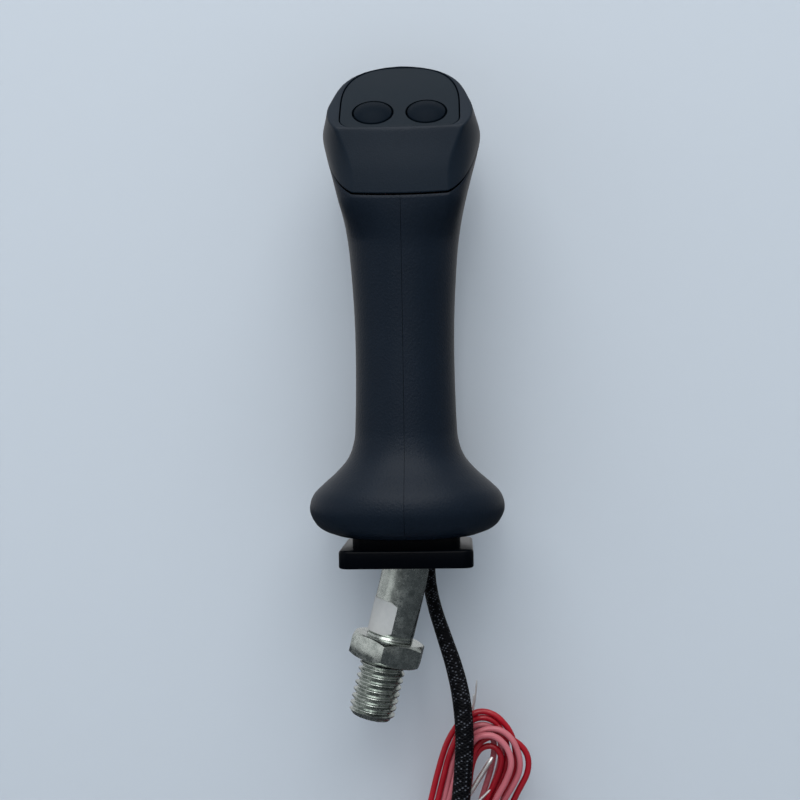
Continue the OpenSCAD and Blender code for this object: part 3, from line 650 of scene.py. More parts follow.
RED_2 = (
    [(14.9, 5.2, -111.4), (14.8, 5.4, -114), (14, 6.8, -117.6), (11.6, 9.4, -120.4),
     (8, 12.2, -120.6), (5.4, 13.2, -116.5), (5.2, 13.2, -108), (6.2, 13.2, -97),
     (7.4, 13.2, -91.5), (9, 13.2, -85), (10.8, 13.2, -78), (12.8, 13.2, -70.8),
     (14.8, 13.2, -65.6), (17.2, 13.2, -61.4), (20.2, 13.2, -58.7), (23.1, 13.2, -57.4),
     (25.7, 13.2, -57.2), (28.1, 13.2, -58), (30, 13.2, -59.4), (31.7, 13.2, -61.7),
     (32.9, 13.2, -64.8), (33.4, 13.2, -68.4), (33.2, 13.2, -72), (32.2, 13.2, -76),
     (30.6, 13.2, -80.2), (27.4, 13.2, -87.4), (24, 13.2, -97), (20.8, 13.2, -108)]
    + arc(17.8, 3.2, -122, 13.2, 11)
    + [(4.2, 11, -112), (8.4, 11, -102), (13.6, 11, -93.5), (17.8, 11, -86), (19.8, 11, -80.6),
       (20.4, 11, -76), (21.3, 11, -72.2), (22.9, 11, -69.1), (25.1, 11, -66.6), (27.1, 11, -65.2),
       (29.1, 11, -65.4), (30.7, 11, -67.1), (31.4, 11, -69.7), (31.2, 11, -72.8),
       (30.3, 11, -76), (28.8, 11, -79.4), (26.6, 11, -84), (23.6, 11, -92), (20.8, 11, -102),
       (18.6, 11, -112)]
    + arc(17.8, 3.2, -122, 11, 8.9)
    + [(4.6, 8.9, -112), (8.8, 8.9, -103), (13.8, 8.9, -96), (18.6, 9.4, -90.4),
       (22.4, 10.2, -86.4)])

PINK_1 = (
    [(12.5, 5.2, -111.4), (12.4, 5.4, -114), (11.6, 6.8, -117.2), (9.8, 9.6, -119.6),
     (7.6, 12.6, -118.4), (6.6, 13.2, -112), (7.6, 13.2, -103), (9.4, 13.2, -94),
     (11.4, 13.2, -85), (13.4, 13.2, -76), (15.4, 13.2, -68.4), (17.6, 13.2, -63.6),
     (20.4, 13.2, -61), (23.1, 13.2, -59.7), (25.7, 13.2, -59.4), (28, 13.2, -60.4),
     (29.8, 13.2, -62.4), (31, 13.2, -65.4), (31.3, 13.2, -69), (30.8, 13.2, -73.4),
     (29.2, 13.2, -79), (26, 13.2, -87), (22.2, 13.2, -98), (18.8, 13.2, -109)]
    + arc(16.8, 4.2, -119.5, 13.2, 9)
    + [(5.2, 9, -110), (8.2, 9, -100), (11.4, 9, -90), (14.2, 9, -80), (16.4, 9, -71.6),
       (18.2, 9, -66.4), (20.6, 9, -63.2), (23, 9, -61.5), (24.9, 9, -60.6), (27, 9, -60.1),
       (29.4, 9, -60.2), (31.8, 9, -61), (34, 9, -62.7), (35.8, 9, -65.2), (37.1, 9, -68.4),
       (37.7, 9, -72), (37.3, 9, -75.4), (35.7, 9, -79), (32.9, 9, -83.6), (31, 9, -86.6),
       (27, 9, -95), (23, 9, -105), (20, 9, -114)]
    + arc(19.6, 8.2, -122.5, 9, 9)
    + [(9.2, 9, -112), (11.4, 9, -103), (14.2, 9, -95), (17, 9.2, -88.4), (19.3, 9.8, -84.2)])

PINK_2 = (
    [(14.9, 2.8, -111.4), (14.8, 2.9, -115), (13.8, 4.2, -118.6), (11.4, 6.4, -120.6),
     (8.8, 8.4, -119), (7.9, 9, -113), (9.6, 9, -104.6), (12.6, 9, -95), (15.2, 9, -85.6),
     (17, 9, -76.6), (18.6, 9, -69.4), (20.4, 8.4, -65.4), (22.4, 7.6, -63),
     (24.9, 6.8, -61.9), (27.4, 6.8, -61.8), (29.6, 6.8, -62.6), (31.7, 6.8, -64.3),
     (33.3, 6.8, -66.6), (34.3, 6.8, -69.2), (34.5, 6.8, -72.2), (33.7, 6.8, -75.2),
     (32, 6.8, -79), (29.9, 6.8, -82.6), (28.2, 7, -86), (24.6, 8, -94), (20.6, 9, -105)]
    + arc(18.4, 5.4, -118, 9, 15.4)
    + [(6.4, 15.4, -108), (8.8, 15.4, -96), (11.8, 15.4, -82), (14.4, 15.4, -70),
       (17.4, 15.4, -64.6), (20.4, 15.4, -62.4), (23, 15.4, -61.5), (25.6, 15.4, -61.6),
       (27.6, 15.4, -63), (28.8, 15.4, -66), (28.8, 15.4, -70), (27.6, 15.4, -76),
       (25, 15.4, -84), (21.6, 15.4, -95), (19.2, 15.4, -106)]
    + arc(18.2, 5.8, -117, 15.4, 17.6)
    + [(6.6, 17.6, -107), (9, 17.6, -94), (12, 17.6, -80), (15.4, 17.6, -67)])

# Where the sleeve leaves the grip, and its radius there
LEAD_EXIT = (6.6, 12.8, 0)
NECK_R = 2.4
# Height of the hank's tie, and how far in x the limb that it holds reaches
TIE_Z = -95.7
TIE_REACH = 18
# Height below which the hank hangs free, and the bend to which its wires are opened
HANK_LOW = -88
WIRE_BEND = 5.2
# Points that stay at a wire's end, that leave the sleeve in a bundle, and that count as near
# each other along a wire
END_POINTS, BUNDLED_POINTS, NEAR_POINTS = 3, 4, 12
# Turns in which every point eases, in which the hanging ones do, and the share of a push
EASE_TURNS, HANG_TURNS, PUSH = 2, 12, 0.3

# Bare tinned ends: points from the insulation to the tip, and the diameter at both ends
TIPS = {
    "thick_tip": ([(19.3, 9.8, -84.2), (20.6, 10, -82.2), (24.5, 10.4, -76.1),
                   (28.2, 10.4, -70.4)], 1.6, 2.0),
    "middle_tip": ([(22.4, 10.2, -86.4), (23.4, 10.3, -85.5), (26.1, 10.4, -83),
                    (28.8, 10.4, -80.5)], 1.05, 0.8),
    "thin_tip": ([(17, 19.7, -66), (19.4, 19.4, -61), (21.6, 19, -55.6), (22.6, 19, -50.4),
                  (23.2, 19, -45)], 0.8, 0.65),
    "short_tip": ([(15.4, 17.6, -67), (18, 17.4, -61.6), (20.6, 17, -56), (21.7, 17, -53),
                   (22, 17, -49.6)], 0.8, 0.65),
}


def smooth_route(points, per_span):
    """Points of a smooth curve through the route, as row points in metres."""
    p = [Vector(q) for q in points]
    p = [p[0] * 2 - p[1]] + p + [p[-1] * 2 - p[-2]]
    out = []
    for k in range(1, len(p) - 2):
        for j in range(per_span):
            t = j / per_span
            out.append(0.5 * (2 * p[k] + (p[k + 1] - p[k - 1]) * t
                              + (2 * p[k - 1] - 5 * p[k] + 4 * p[k + 1] - p[k + 2]) * t * t
                              + (3 * p[k] - p[k - 1] - 3 * p[k + 1] + p[k + 2]) * t ** 3))
    out.append(p[-2])
    return [row(q) for q in out]


def bend_radius(a, b, c):
    """Radius of the circle through three points."""
    across = (b - a).cross(c - a).length
    return (b - a).length * (c - b).length * (c - a).length / max(2 * across, 1e-12)


def settle(lines, gap, tightest, low, turns=90):
    """Opens the tight bends of limp wires and pushes apart points of wires that come too close.

    Their ends stay. Above the height low only the depth changes where points are pushed apart.
    Between their points, wires can still run into each other.
    """
    owner = [(i, k) for i, line in enumerate(lines) for k in range(len(line))]
    for turn in range(turns):
        for line in lines:
            moved = list(line)
            for k in range(END_POINTS, len(line) - END_POINTS):
                tight = bend_radius(line[k - 2], line[k], line[k + 2]) < tightest
                if turn < EASE_TURNS or tight or (turn < HANG_TURNS and line[k].z < low):
                    moved[k] = (line[k - 1] + line[k] * 2 + line[k + 1]) / 4
            line[:] = moved
        tree = kdtree.KDTree(len(owner))
        for n, (i, k) in enumerate(owner):
            tree.insert(lines[i][k], n)
        tree.balance()
        for n, (i, k) in enumerate(owner):
            if not END_POINTS <= k < len(lines[i]) - END_POINTS:
                continue
            push = Vector()
            for place, other, apart in tree.find_range(lines[i][k], gap):
                j, m = owner[other]
                if other == n or (i == j and abs(m - k) < NEAR_POINTS):
                    continue
                if i != j and min(k, m) < BUNDLED_POINTS:
                    continue
                way = lines[i][k] - place
                if lines[i][k].z > low:
                    way = Vector((0, way.y if abs(way.y) > 1e-5 else (n - other) * 1e-6, 0))
                push += way.normalized() * (gap - apart) * PUSH
            lines[i][k] += push
    return lines


def route_length(path):
    """Length of a path of points."""
    return sum((b - a).length for a, b in zip(path, path[1:]))


def tube(name, path, radii, sides):
    """Tube swept along a path, its UV map running round it and along it."""
    count = len(path)
    if not isinstance(radii, (list, tuple)):
        radii = [radii] * count
    frames, side = [], None
    for k in range(count):
        ahead = (path[min(count - 1, k + 1)] - path[max(0, k - 1)]).normalized()
        if side is None:
            side = ahead.cross(Vector((0.1, 1, 0.05))).normalized()
        side = (side - ahead * side.dot(ahead)).normalized()
        frames.append((side, ahead.cross(side)))

    def place(c, r):
        a = 2 * math.pi * c / sides
        u, v = frames[r]
        return path[r] + (u * math.cos(a) + v * math.sin(a)) * radii[r]
    obj = grid(name, sides + 1, count, place)
    tidy_mesh(obj)
    edit_all(obj)
    bpy.ops.mesh.select_all(action="DESELECT")
    bpy.ops.mesh.select_mode(type="EDGE")
    bpy.ops.mesh.select_non_manifold()
    bpy.ops.mesh.edge_face_add()
    bpy.ops.mesh.normals_make_consistent(inside=False)
    bpy.ops.object.mode_set(mode="OBJECT")
    smooth(obj, 50)
    return obj


def settings_of_slots():
    """One material for each slot, made the first time that it is asked for."""
    return {
        # Near-black nylon with a fine bright grain in the highlights
        "grip_grain": lambda: moulded("glass_filled_nylon", "#08111b", "#101b27",
                                      sizes().grip_grain / MM, 0.9, 0.45, 0.12, 0.13, 0.6),
        # Slightly paler, smoother cover with a satin sheen
        "cover_plastic": lambda: moulded("satin_abs_cover", "#0e1822", "#15202b", 0.5, 0.4,
                                         0.42, 0.07, 0.14, 0.35),
        # Flat panel, a shade bluer and finely etched
        "panel_plastic": lambda: moulded("etched_abs_panel", "#0d171f", "#141f28", 0.35, 0.5,
                                         0.46, 0.06, 0.1, 0.4),
        # Smooth caps that give one soft highlight
        "button_plastic": lambda: moulded("smooth_acetal_caps", "#091119", "#0d1720", 0.25, 0.12,
                                          0.46, 0.05, 0.03, 0.2),
        # Deeper black of the plate, with a waxy gloss
        "plate_plastic": lambda: moulded("black_nylon_plate", "#010205", "#02050a", 0.6, 0.2,
                                         0.3, 0.06, 0.05, 0.4),
        # Dull rubber grommet
        "black_rubber": lambda: moulded("black_rubber", "#090a0c", "#121316", 0.8, 0.25, 0.7,
                                        0.08, 0.2, 0.3),
        # Dull grey-green plating with sparkle
        "zinc_steel": lambda: plated_steel("zinc_plated_steel"),
        # Brighter small screws
        "zinc_screws": lambda: bare_metal("bright_zinc_screws", "#b9bcbd", 0.32),
        # Rough cast socket inside the grip
        "cast_socket": lambda: bare_metal("cast_aluminium", "#8d9194", 0.52, 0.5),
        # Stamped bracket
        "bracket_steel": lambda: bare_metal("stamped_steel", "#9a9ea1", 0.38, 1.2),
        # Dark switch bodies
        "switch_case": lambda: moulded("phenolic_switch_case", "#15181c", "#22262b", 0.5, 0.3,
                                       0.5, 0.06),
        # Milky plungers
        "plunger_nylon": lambda: moulded("natural_nylon", "#c9c5b8", "#dedbd0", 0.6, 0.1, 0.42),
        # Yellow stamped blades
        "terminal_brass": lambda: bare_metal("stamped_brass", "#c8a552", 0.3),
        # Plain white sticker
        "label_paper": lambda: paper("white_label_paper"),
        # Black braid with painted glints: a few random strands painted paler at the weave's crowns
        "braid": lambda: braided("braided_polyester", 137.0),
        # Shiny shrunk tube
        "heat_shrink": lambda: moulded("black_heat_shrink", "#050608", "#0b0d10", 1.2, 0.2, 0.36,
                                       0.06, 0.3, 0.2),
        # Glossy red silicone
        "wire_red": lambda: insulation("red_silicone", "#84091a", "#ab0c20", 22.0),
        # Glossy pink-tinted silicone
        "wire_pink": lambda: insulation("pink_silicone", "#a3505a", "#c3727b", 22.0),
        # Bright solder over copper strands
        "tinned_copper": lambda: bare_metal("tinned_copper", "#f2f3f3", 0.5, 0.6),
    }


# Name of each slot's material, once it is made
MADE = {}


def material_of(slot_name):
    """The material of a slot."""
    made = bpy.data.materials.get(MADE.get(slot_name, ""))
    if made is None:
        made = settings_of_slots()[slot_name]()
        MADE[slot_name] = made.name
    return made


def finish_piece(obj, slot_name, body="grip", nodes=()):
    """Gives a piece the material of its slot, a body and what it stands for."""
    return piece(obj, material_of(slot_name), body, slot_name, *nodes)


def crossings(lines, radius):
    """Discs in which cords cross the tie's height, as (x, y, radius) in the grip's frame."""
    out, height = [], row((0, 0, TIE_Z)).z
    for line in lines:
        for a, b in zip(line, line[1:]):
            if (a.z - height) * (b.z - height) < 0:
                p = a.lerp(b, (height - a.z) / (b.z - a.z)) / MM
                out.append((p.x - GRIP_X, p.y, radius / MM))
    return out


def band(name, discs, near, far, width, sides=96):
    """Strap pulled tight round discs, between two distances from them."""
    corners = ((near, -width / 2), (far, -width / 2), (far, width / 2), (near, width / 2),
               (near, -width / 2))

    def place(c, k):
        turn = 2 * math.pi * c / sides
        u = Vector((math.cos(turn), math.sin(turn)))
        x, y, r = max(discs, key=lambda d: d[0] * u.x + d[1] * u.y + d[2])
        out, up = corners[k]
        return row((x + (r + out) * u.x, y + (r + out) * u.y, TIE_Z + up))
    obj = grid(name, sides + 1, len(corners), place)
    tidy_mesh(obj)
    modify(obj, "BEVEL", width=0.2 * MM, segments=2, limit_method="ANGLE",
           angle_limit=math.radians(50))
    smooth(obj, 40)
    return obj


# ---- Operators, in the order in which the panel lists them ----


CAMERA_TURN, CAMERA_ROLL = math.radians(2.4), math.radians(-0.87)
# Point looked at and focal length for a sensor 36 mm wide, in millimetres; distance in metres
CAMERA_TARGET, CAMERA_LENS, CAMERA_AWAY = (6.76, 0, 89.4), 60.76, 0.465


class JOYSTICK_OT_camera(bpy.types.Operator):
    """Place the camera level with the grip's middle"""
    bl_idname = "joystick.camera"
    bl_label = "Camera"

    def execute(self, context):
        back = Vector((math.sin(CAMERA_TURN), -math.cos(CAMERA_TURN), 0))
        data = bpy.data.cameras.new("camera")
        data.lens = CAMERA_LENS
        data.sensor_width = 36
        data.clip_start = 0.01
        obj = bpy.data.objects.new("camera", data)
        context.scene.collection.objects.link(obj)
        obj.rotation_mode = "QUATERNION"
        obj.rotation_quaternion = ((-back).to_track_quat("-Z", "Y")
                                   @ Quaternion((0, 0, 1), CAMERA_ROLL))
        obj.location = Vector(CAMERA_TARGET) * MM + back * CAMERA_AWAY
        context.scene.camera = obj
        return {"FINISHED"}


def braided_sleeve():
    """Builds the sleeve, inside the grip and out to its end, and gives its open part's path."""
    path = smooth_route(SLEEVE, 8)
    leaves = row(LEAD_EXIT)
    outside = [p for p in path if p.z <= leaves.z + 1e-6]
    within = [p for p in path if p.z >= leaves.z - 1e-6]
    hidden = tube("sleeve_braid_inside", within, NECK_R * MM, 32)
    finish_piece(hidden, "braid")
    full = sizes().sleeve_d / 2
    widths = [mix(NECK_R * MM, full, ease(0.012, 0.055, leaves.z - p.z)) for p in outside]
    sleeve = tube("sleeve_braid", outside, widths, 32)
    finish_piece(sleeve, "braid", nodes=("cable_sleeve",))
    route_length(outside)
    [tuple(p) for p in outside]
    return outside


def bare_tips():
    """Builds the wires' tinned ends, and gives them by name."""
    tips = {}
    for name, (points, first, last) in TIPS.items():
        line = smooth_route(points, 6)
        widths = [mix(first, last, k / (len(line) - 1)) / 2 * MM for k in range(len(line))]
        widths[-1] *= 0.45
        widths[-2] *= 0.9
        tips[name] = tube(name, line, widths, 14)
        finish_piece(tips[name], "tinned_copper",
                     nodes=("wire_tips",) if name == "thick_tip" else ())
    return tips


def loose_wires(tips):
    """Builds the four wires of the hank, and gives their paths."""
    wire_d = sizes().wire_d
    lines = settle([smooth_route(route, 4) for route in (RED_1, RED_2, PINK_1, PINK_2)],
                   wire_d * 1.03, WIRE_BEND * MM, row((0, 0, HANK_LOW)).z)
    for name, line, node, slot_name, tip in (
            ("red_wire_1", lines[0], "wire_red_1", "wire_red", "thin_tip"),
            ("red_wire_2", lines[1], "wire_red_2", "wire_red", "middle_tip"),
            ("pink_wire_1", lines[2], "wire_pink_1", "wire_pink", "thick_tip"),
            ("pink_wire_2", lines[3], "wire_pink_2", "wire_pink", "short_tip")):
        obj = tube(name, line, wire_d / 2, 14)
        nodes = (node, "wire_hank") if name == "red_wire_1" else (node,)
        finish_piece(obj, slot_name, nodes=nodes)
        tuple(line[0])
        route_length(line)
        [tuple(p) for p in line]
    return lines


class JOYSTICK_OT_lead(bpy.types.Operator):
    """Build the braided sleeve and the four loose wires with their bare ends"""
    bl_idname = "joystick.lead"
    bl_label = "Lead"

    def execute(self, context):
        outside = braided_sleeve()
        lines = loose_wires(bare_tips())
        discs = crossings(lines, sizes().wire_d / 2) + crossings([outside], sizes().sleeve_d / 2)
        tie = band("hank_tie_snug", [d for d in discs if d[0] < TIE_REACH], 0.15, 1.1, 2.6)
        finish_piece(tie, "heat_shrink", nodes=("hank_tie",))
        return {"FINISHED"}


# Heights of the shells' points: from the hole round the neck out over the bell and up
UNDERSIDE = (14, 10, 7, 4.5, 2.5, 1.2, 0.4)


def shell_levels():
    """Heights of the shell's rows below the head."""
    low = [BELL_Z + v for v in steps((1.0, 5), (4, 8), (9, 8), (BELL_H, 24))]
    return low + [HAND_Z + HAND_H * (k + 1) / 26 for k in range(26)]


def shell_half(name, side):
    """Half shell: its outer skin from the neck's hole up to the seam below the head cover."""
    rise = 44
    top = [level_at(i, -COVER_T) for i in ROUND]
    kinds = [("under", v) for v in UNDERSIDE] + [("level", z) for z in shell_levels()]
    kinds += [("rise", (k + 1) / rise) for k in range(rise)]

    def place(c, r):
        i, (kind, v) = ROUND[c], kinds[r]
        if kind == "under":
            p = skin(BELL_Z, i, v)
        elif kind == "level":
            p = skin(v, i)
        else:
            last = top[c] - 0.28
            p = skin(mix(HEAD_Z, last, v), i)
            if v == 1:
                p = skin(top[c], i, 0.25)
        p.x = side * max(0.06, p.x)
        return row(p)
    obj = grid(name, len(ROUND), len(kinds), place)
    tidy_mesh(obj, 0.0000005)
    modify(obj, "SOLIDIFY", thickness=WALL * MM, offset=-1.0)
    return obj


# Shell screws, as (depth behind the axis, height), and where their heads sit
SHELL_SCREWS = [(20, BELL_Z + 0.4 * BELL_H), (9, HAND_Z + 0.35 * HAND_H), (9, HEAD_Z),
                (14, HEAD_Z + 0.5 * HEAD_H)]
BOSS_R, SCREW_HOLE_R = 4.4, 2.975


def at_shell_screw(y, z):
    """Frame along a shell screw, Z towards its head."""
    return Matrix.Translation(row((0, y, z))) @ Matrix.Rotation(math.pi / 2, 4, "Y")


class JOYSTICK_OT_shells(bpy.types.Operator):
    """Build the two half shells of the grip"""
    bl_idname = "joystick.shells"
    bl_label = "Half shells"

    def execute(self, context):
        for name, side, node in (("shell_left", -1, "grip_shell_left"),
                                 ("shell_right", 1, "grip_shell_right")):
            obj = shell_half(name, side)
            if side > 0:
                for y, z in SHELL_SCREWS:
                    half = along(z, 1) * math.sqrt(1 - (y / along(z, 3)) ** 2)
                    frame_of = at_shell_screw(y, z)
                    tall = half - 3
                    boss = cylinder("boss", BOSS_R, tall, (0, 0, tall / 2 + 1), 40, frame_of)
                    hole = cylinder("hole", SCREW_HOLE_R, 14, (0, 0, half + 2), 40, frame_of)
                    cut_with(boss, copy_of(hole, "hole_copy", Matrix()))
                    cut_with(obj, hole, solver="FAST")
                    join(obj, [boss])
            smooth(obj, 40)
            finish_piece(obj, "grip_grain", nodes=(node,))
        return {"FINISHED"}


# Middle of the panel, on the panel
PANEL_MIDDLE = Vector((0, 14))


def cross_outline(x, y, outline):
    """Where the ray from the panel's middle through a point meets the outline, on the panel."""
    ray = Vector((x, y)) - PANEL_MIDDLE
    for a, b in zip(outline, outline[1:]):
        edge = Vector(b) - Vector(a)
        det = ray.x * edge.y - ray.y * edge.x
        if abs(det) < 1e-9:
            continue
        off = Vector(a) - PANEL_MIDDLE
        t = (off.x * edge.y - off.y * edge.x) / det
        u = (off.x * ray.y - off.y * ray.x) / det
        if t > 0 and -1e-6 <= u <= 1 + 1e-6:
            return PANEL_MIDDLE + ray * t
    raise RuntimeError("a ray from the panel's middle misses the outline")


COVER_WALL = 2.2
# Heights, from the slope, of the pocket's floor and of the cover's inside
POCKET_FLOOR, COVER_INSIDE = -2.6, -3.4


class JOYSTICK_OT_head_cover(bpy.types.Operator):
    """Build the head cover with the pocket for the button panel"""
    bl_idname = "joystick.head_cover"
    bl_label = "Head cover"

    def execute(self, context):
        outline = panel_outline(PANEL_GAP, POCKET_FRONT)
        ring = [(1, i) for i in ROUND] + [(-1, i) for i in reversed(ROUND)]
        low = -(COVER_T - SEAM)
        heights = steps((1, 22))
        inner = COVER_WALL

        def column(side, i):
            base = level_at(i, low)
            last = level_at(i, -0.75)
            points = [skin(level_at(i, low, inner), i, inner), skin(base, i, inner * 0.5),
                      skin(base, i, 0.25)]
            points += [skin(mix(base + 0.28, last, h), i) for h in heights]
            edge = skin(level_at(i, 0), i)
            flat = Vector((edge.x, (edge - PANEL_ORIGIN).dot(PANEL_UP)))
            pocket = cross_outline(flat.x, flat.y, outline)
            inward = pocket - flat
            centre_way = (PANEL_MIDDLE - flat).normalized()
            if inward.dot(centre_way) < 0.3:
                inward = centre_way * 0.3
            pocket = flat + inward
            rim = flat + inward * min(0.55, 0.7 / inward.length)
            rim_point = on_panel(rim.x, rim.y, 0)
            start = points[-1]
            points += [start * (1 - t) ** 2 + edge * (2 * t * (1 - t)) + rim_point * t * t
                       for t in (0.2, 0.4, 0.6, 0.8, 1)]
            near = flat + inward * 0.93
            points += [on_panel(near.x, near.y, 0), on_panel(pocket.x, pocket.y, -0.1),
                       on_panel(pocket.x, pocket.y, POCKET_FLOOR)]
            points += [skin(level_at(i, COVER_INSIDE, inner), i, inner),
                       skin(level_at(i, (low + COVER_INSIDE) / 2, inner), i, inner),
                       points[0].copy()]
            for p in points:
                p.x = side * abs(p.x)
            return points
        columns = [column(*at) for at in ring]
        obj = grid("head_cover_dressed", len(ring), len(columns[0]),
                   lambda c, r: row(columns[c][r]))
        tidy_mesh(obj, 0.0000005)
        smooth(obj, 35)
        finish_piece(obj, "cover_plastic", nodes=("head_cover",))
        return {"FINISHED"}


BUTTON_X, BUTTON_Y = 8.9, 9.4
BUTTON_HOLE_R = 7.0
POST_R, POST_LENGTH, POST_PLACES = 2, 17.6, (2.6, 17.0)


class JOYSTICK_OT_panel(bpy.types.Operator):
    """Build the flat panel with its two button holes and its screw posts"""
    bl_idname = "joystick.switch_panel"
    bl_label = "Button panel"

    def execute(self, context):
        half = panel_outline(0, PANEL_FRONT)
        outline = half + [(-x, y) for x, y in reversed(half) if x > 1e-6]
        clear_selection()
        bpy.ops.mesh.primitive_circle_add(vertices=len(outline), radius=1, fill_type="NGON")
        obj = context.object
        obj.name = obj.data.name = "button_panel"
        for v, (x, y) in zip(obj.data.vertices, outline):
            v.co = Vector((x, y, -PANEL_T)) * MM
        edit_all(obj)
        bpy.ops.mesh.normals_make_consistent(inside=False)
        bpy.ops.mesh.extrude_region_move(
            TRANSFORM_OT_translate={"value": (0, 0, (PANEL_T - 0.1) * MM)})
        bpy.ops.mesh.select_all(action="SELECT")
        bpy.ops.mesh.normals_make_consistent(inside=False)
        level = -0.1 * MM
        select_where(obj, "edges", lambda e: all(
            abs(obj.data.vertices[v].co.z - level) < 1e-6 for v in e.vertices))
        bpy.ops.mesh.bevel(offset=0.35 * MM, segments=3, affect="EDGES")
        bpy.ops.object.mode_set(mode="OBJECT")
        for side in (-1, 1):
            hole = cylinder("hole", BUTTON_HOLE_R, 8, (side * BUTTON_X, BUTTON_Y, 0), 96)
            cut_with(obj, hole)
        posts = [cylinder("post", POST_R, POST_LENGTH, (0, y, -2 - POST_LENGTH / 2), 24)
                 for y in POST_PLACES]
        join(obj, posts)
        obj.data.transform(PANEL_MATRIX)
        smooth(obj, 30)
        finish_piece(obj, "panel_plastic", nodes=("switch_panel",))
        return {"FINISHED"}


class JOYSTICK_OT_buttons(bpy.types.Operator):
    """Build the two domed push buttons"""
    bl_idname = "joystick.buttons"
    bl_label = "Push buttons"

    def execute(self, context):
        r, dome = sizes().button_d / 2 / MM, 1.9
        ball = (r * r + dome * dome) / (2 * dome)
        reach = math.asin(r / ball)
        profile = [(0, -6), (1.7, -6), (1.7, -3.8), (7.9, -3.8), (7.9, -2.8), (r, -2.8),
                   (r, -0.12), (r - 0.03, -0.02)]
        profile += [(ball * math.sin(a) * 0.995, dome - ball + ball * math.cos(a))
                    for a in (reach * (1 - k / 14) * 0.985 for k in range(15))]
        profile[-1] = (0, dome)
        for name, side in (("button_left", -1), ("button_right", 1)):
            obj = lathe(name + "_cap", profile, 96)
            obj.data.transform(PANEL_MATRIX
                               @ Matrix.Translation(Vector((side * BUTTON_X, BUTTON_Y, 0)) * MM))
            smooth(obj, 40)
            body = "left_button" if side < 0 else "right_button"
            finish_piece(obj, "button_plastic", body, (name,))
        return {"FINISHED"}


def block(name, width, low, high, corner, edge):
    """Square block with rounded upright corners and softened edges, in the grip's frame."""
    clear_selection()
    bpy.ops.mesh.primitive_cube_add(size=1)
    obj = bpy.context.object
    obj.name = obj.data.name = name
    obj.data.transform(Matrix.Diagonal((width * MM, width * MM, (high - low) * MM, 1)))
    obj.data.transform(Matrix.Translation(row((0, 0, (high + low) / 2))))
    edit_all(obj)
    select_where(obj, "edges", lambda e: abs(
        obj.data.vertices[e.vertices[0]].co.z - obj.data.vertices[e.vertices[1]].co.z) > 1e-4)
    bpy.ops.mesh.bevel(offset=corner * MM, segments=10, affect="EDGES")
    bpy.ops.object.mode_set(mode="OBJECT")
    modify(obj, "BEVEL", width=edge * MM, segments=4, limit_method="ANGLE",
           angle_limit=math.radians(40))
    return obj


SCREW_X = (NECK_W / 2 + 9.0) / 2 + 0.9
# Holes of the plate for the stud, the lead and two screws, as (x, depth, radius)
PLATE_HOLES = ((0.35, 0, 8.6), (6.6, 12.8, 4.25), (-SCREW_X, 0, 3.7), (SCREW_X, 0, 3.7))


class JOYSTICK_OT_plate(bpy.types.Operator):
    """Build the square base plate and its neck, with its holes"""
    bl_idname = "joystick.base_plate"
    bl_label = "Base plate"

    def execute(self, context):
        parts = [block("plate", PLATE_W, 0, PLATE_T, PLATE_CORNER, 0.7),
                 block("neck", NECK_W, PLATE_T - 0.4, BELL_Z - 0.05, PLATE_CORNER, 0.3)]
        for obj in parts:
            for x, y, r in PLATE_HOLES:
                cut_with(obj, cylinder("hole", r, 40, row((x, y, 4)) / MM, 64))
        join(parts[0], parts[1:])
        smooth(parts[0], 40)
        parts[0].name = parts[0].data.name = "plate_dressed"
        finish_piece(parts[0], "plate_plastic", nodes=("base_plate",))
        return {"FINISHED"}


THREAD = Matrix.Rotation(math.pi + BEND, 4, "Y")
NUT_H, THREAD_ABOVE, THREAD_FREE, CHAMFER = 8.0, 2.0, 20.0, 1.5
THREAD_START = -(NUT_H + THREAD_ABOVE)
# Outline of the thread over one turn, as (share of the pitch, share of the depth)
THREAD_FORM = ((0, 1), (0.12, 1), (0.2, 0.86), (0.5, 0.06), (0.56, 0), (0.64, 0), (0.7, 0.06),
               (0.94, 0.86))
LABEL_TOP, LABEL_LOW = -20.9, -9.4
NUT_TURN = math.radians(4)


def bent_shank(r):
    """Shank of radius r, from the thread round the bend and up into the socket."""
    path = [THREAD @ (Vector((0, 0, t)) * MM)
            for t in (THREAD_START, -14, -18, -22, -(SEAT_DROP - BEND_TANGENT))]
    for k in range(1, 17):
        a = BEND * (1 - k / 16)
        path.append(row((BEND_R * math.cos(a) - BEND_R, 0,
                         BEND_TANGENT - BEND_R * math.sin(a))))
    path += [row((0, 0, z)) for z in (14, 24, 36, STUD_TOP)]
    return tube("shank", path, r * MM, 64)


def helical_thread(r):
    """Thread on a rod of radius r, with its ends closed."""
    pitch, deep = sizes().thread_pitch / MM, sizes().thread_depth / MM
    sides, start = 64, THREAD_START
    turns = int((THREAD_FREE - start) / pitch) + 3
    rows = [(turn + s, h) for turn in range(turns) for s, h in THREAD_FORM]

    def place(c, k):
        s, h = rows[k]
        t = min(THREAD_FREE, max(start, start + pitch * (s - 1 + c / sides)))
        fade = ease(start, start + 1.5 * pitch, t)
        radius = r - 0.02 - deep * (1 - h) * fade
        radius = min(radius, r - max(0, t - (THREAD_FREE - CHAMFER)))
        a = 2 * math.pi * c / sides
        return Vector((radius * math.cos(a), radius * math.sin(a), t)) * MM
    thread = grid("thread", sides + 1, len(rows), place)
    tidy_mesh(thread, 0.000002)
    edit_all(thread)
    bpy.ops.mesh.select_all(action="DESELECT")
    bpy.ops.mesh.select_mode(type="EDGE")
    bpy.ops.mesh.select_non_manifold()
    bpy.ops.mesh.edge_face_add()
    bpy.ops.mesh.select_all(action="SELECT")
    bpy.ops.mesh.normals_make_consistent(inside=False)
    bpy.ops.object.mode_set(mode="OBJECT")
    thread.data.transform(THREAD)
    return thread


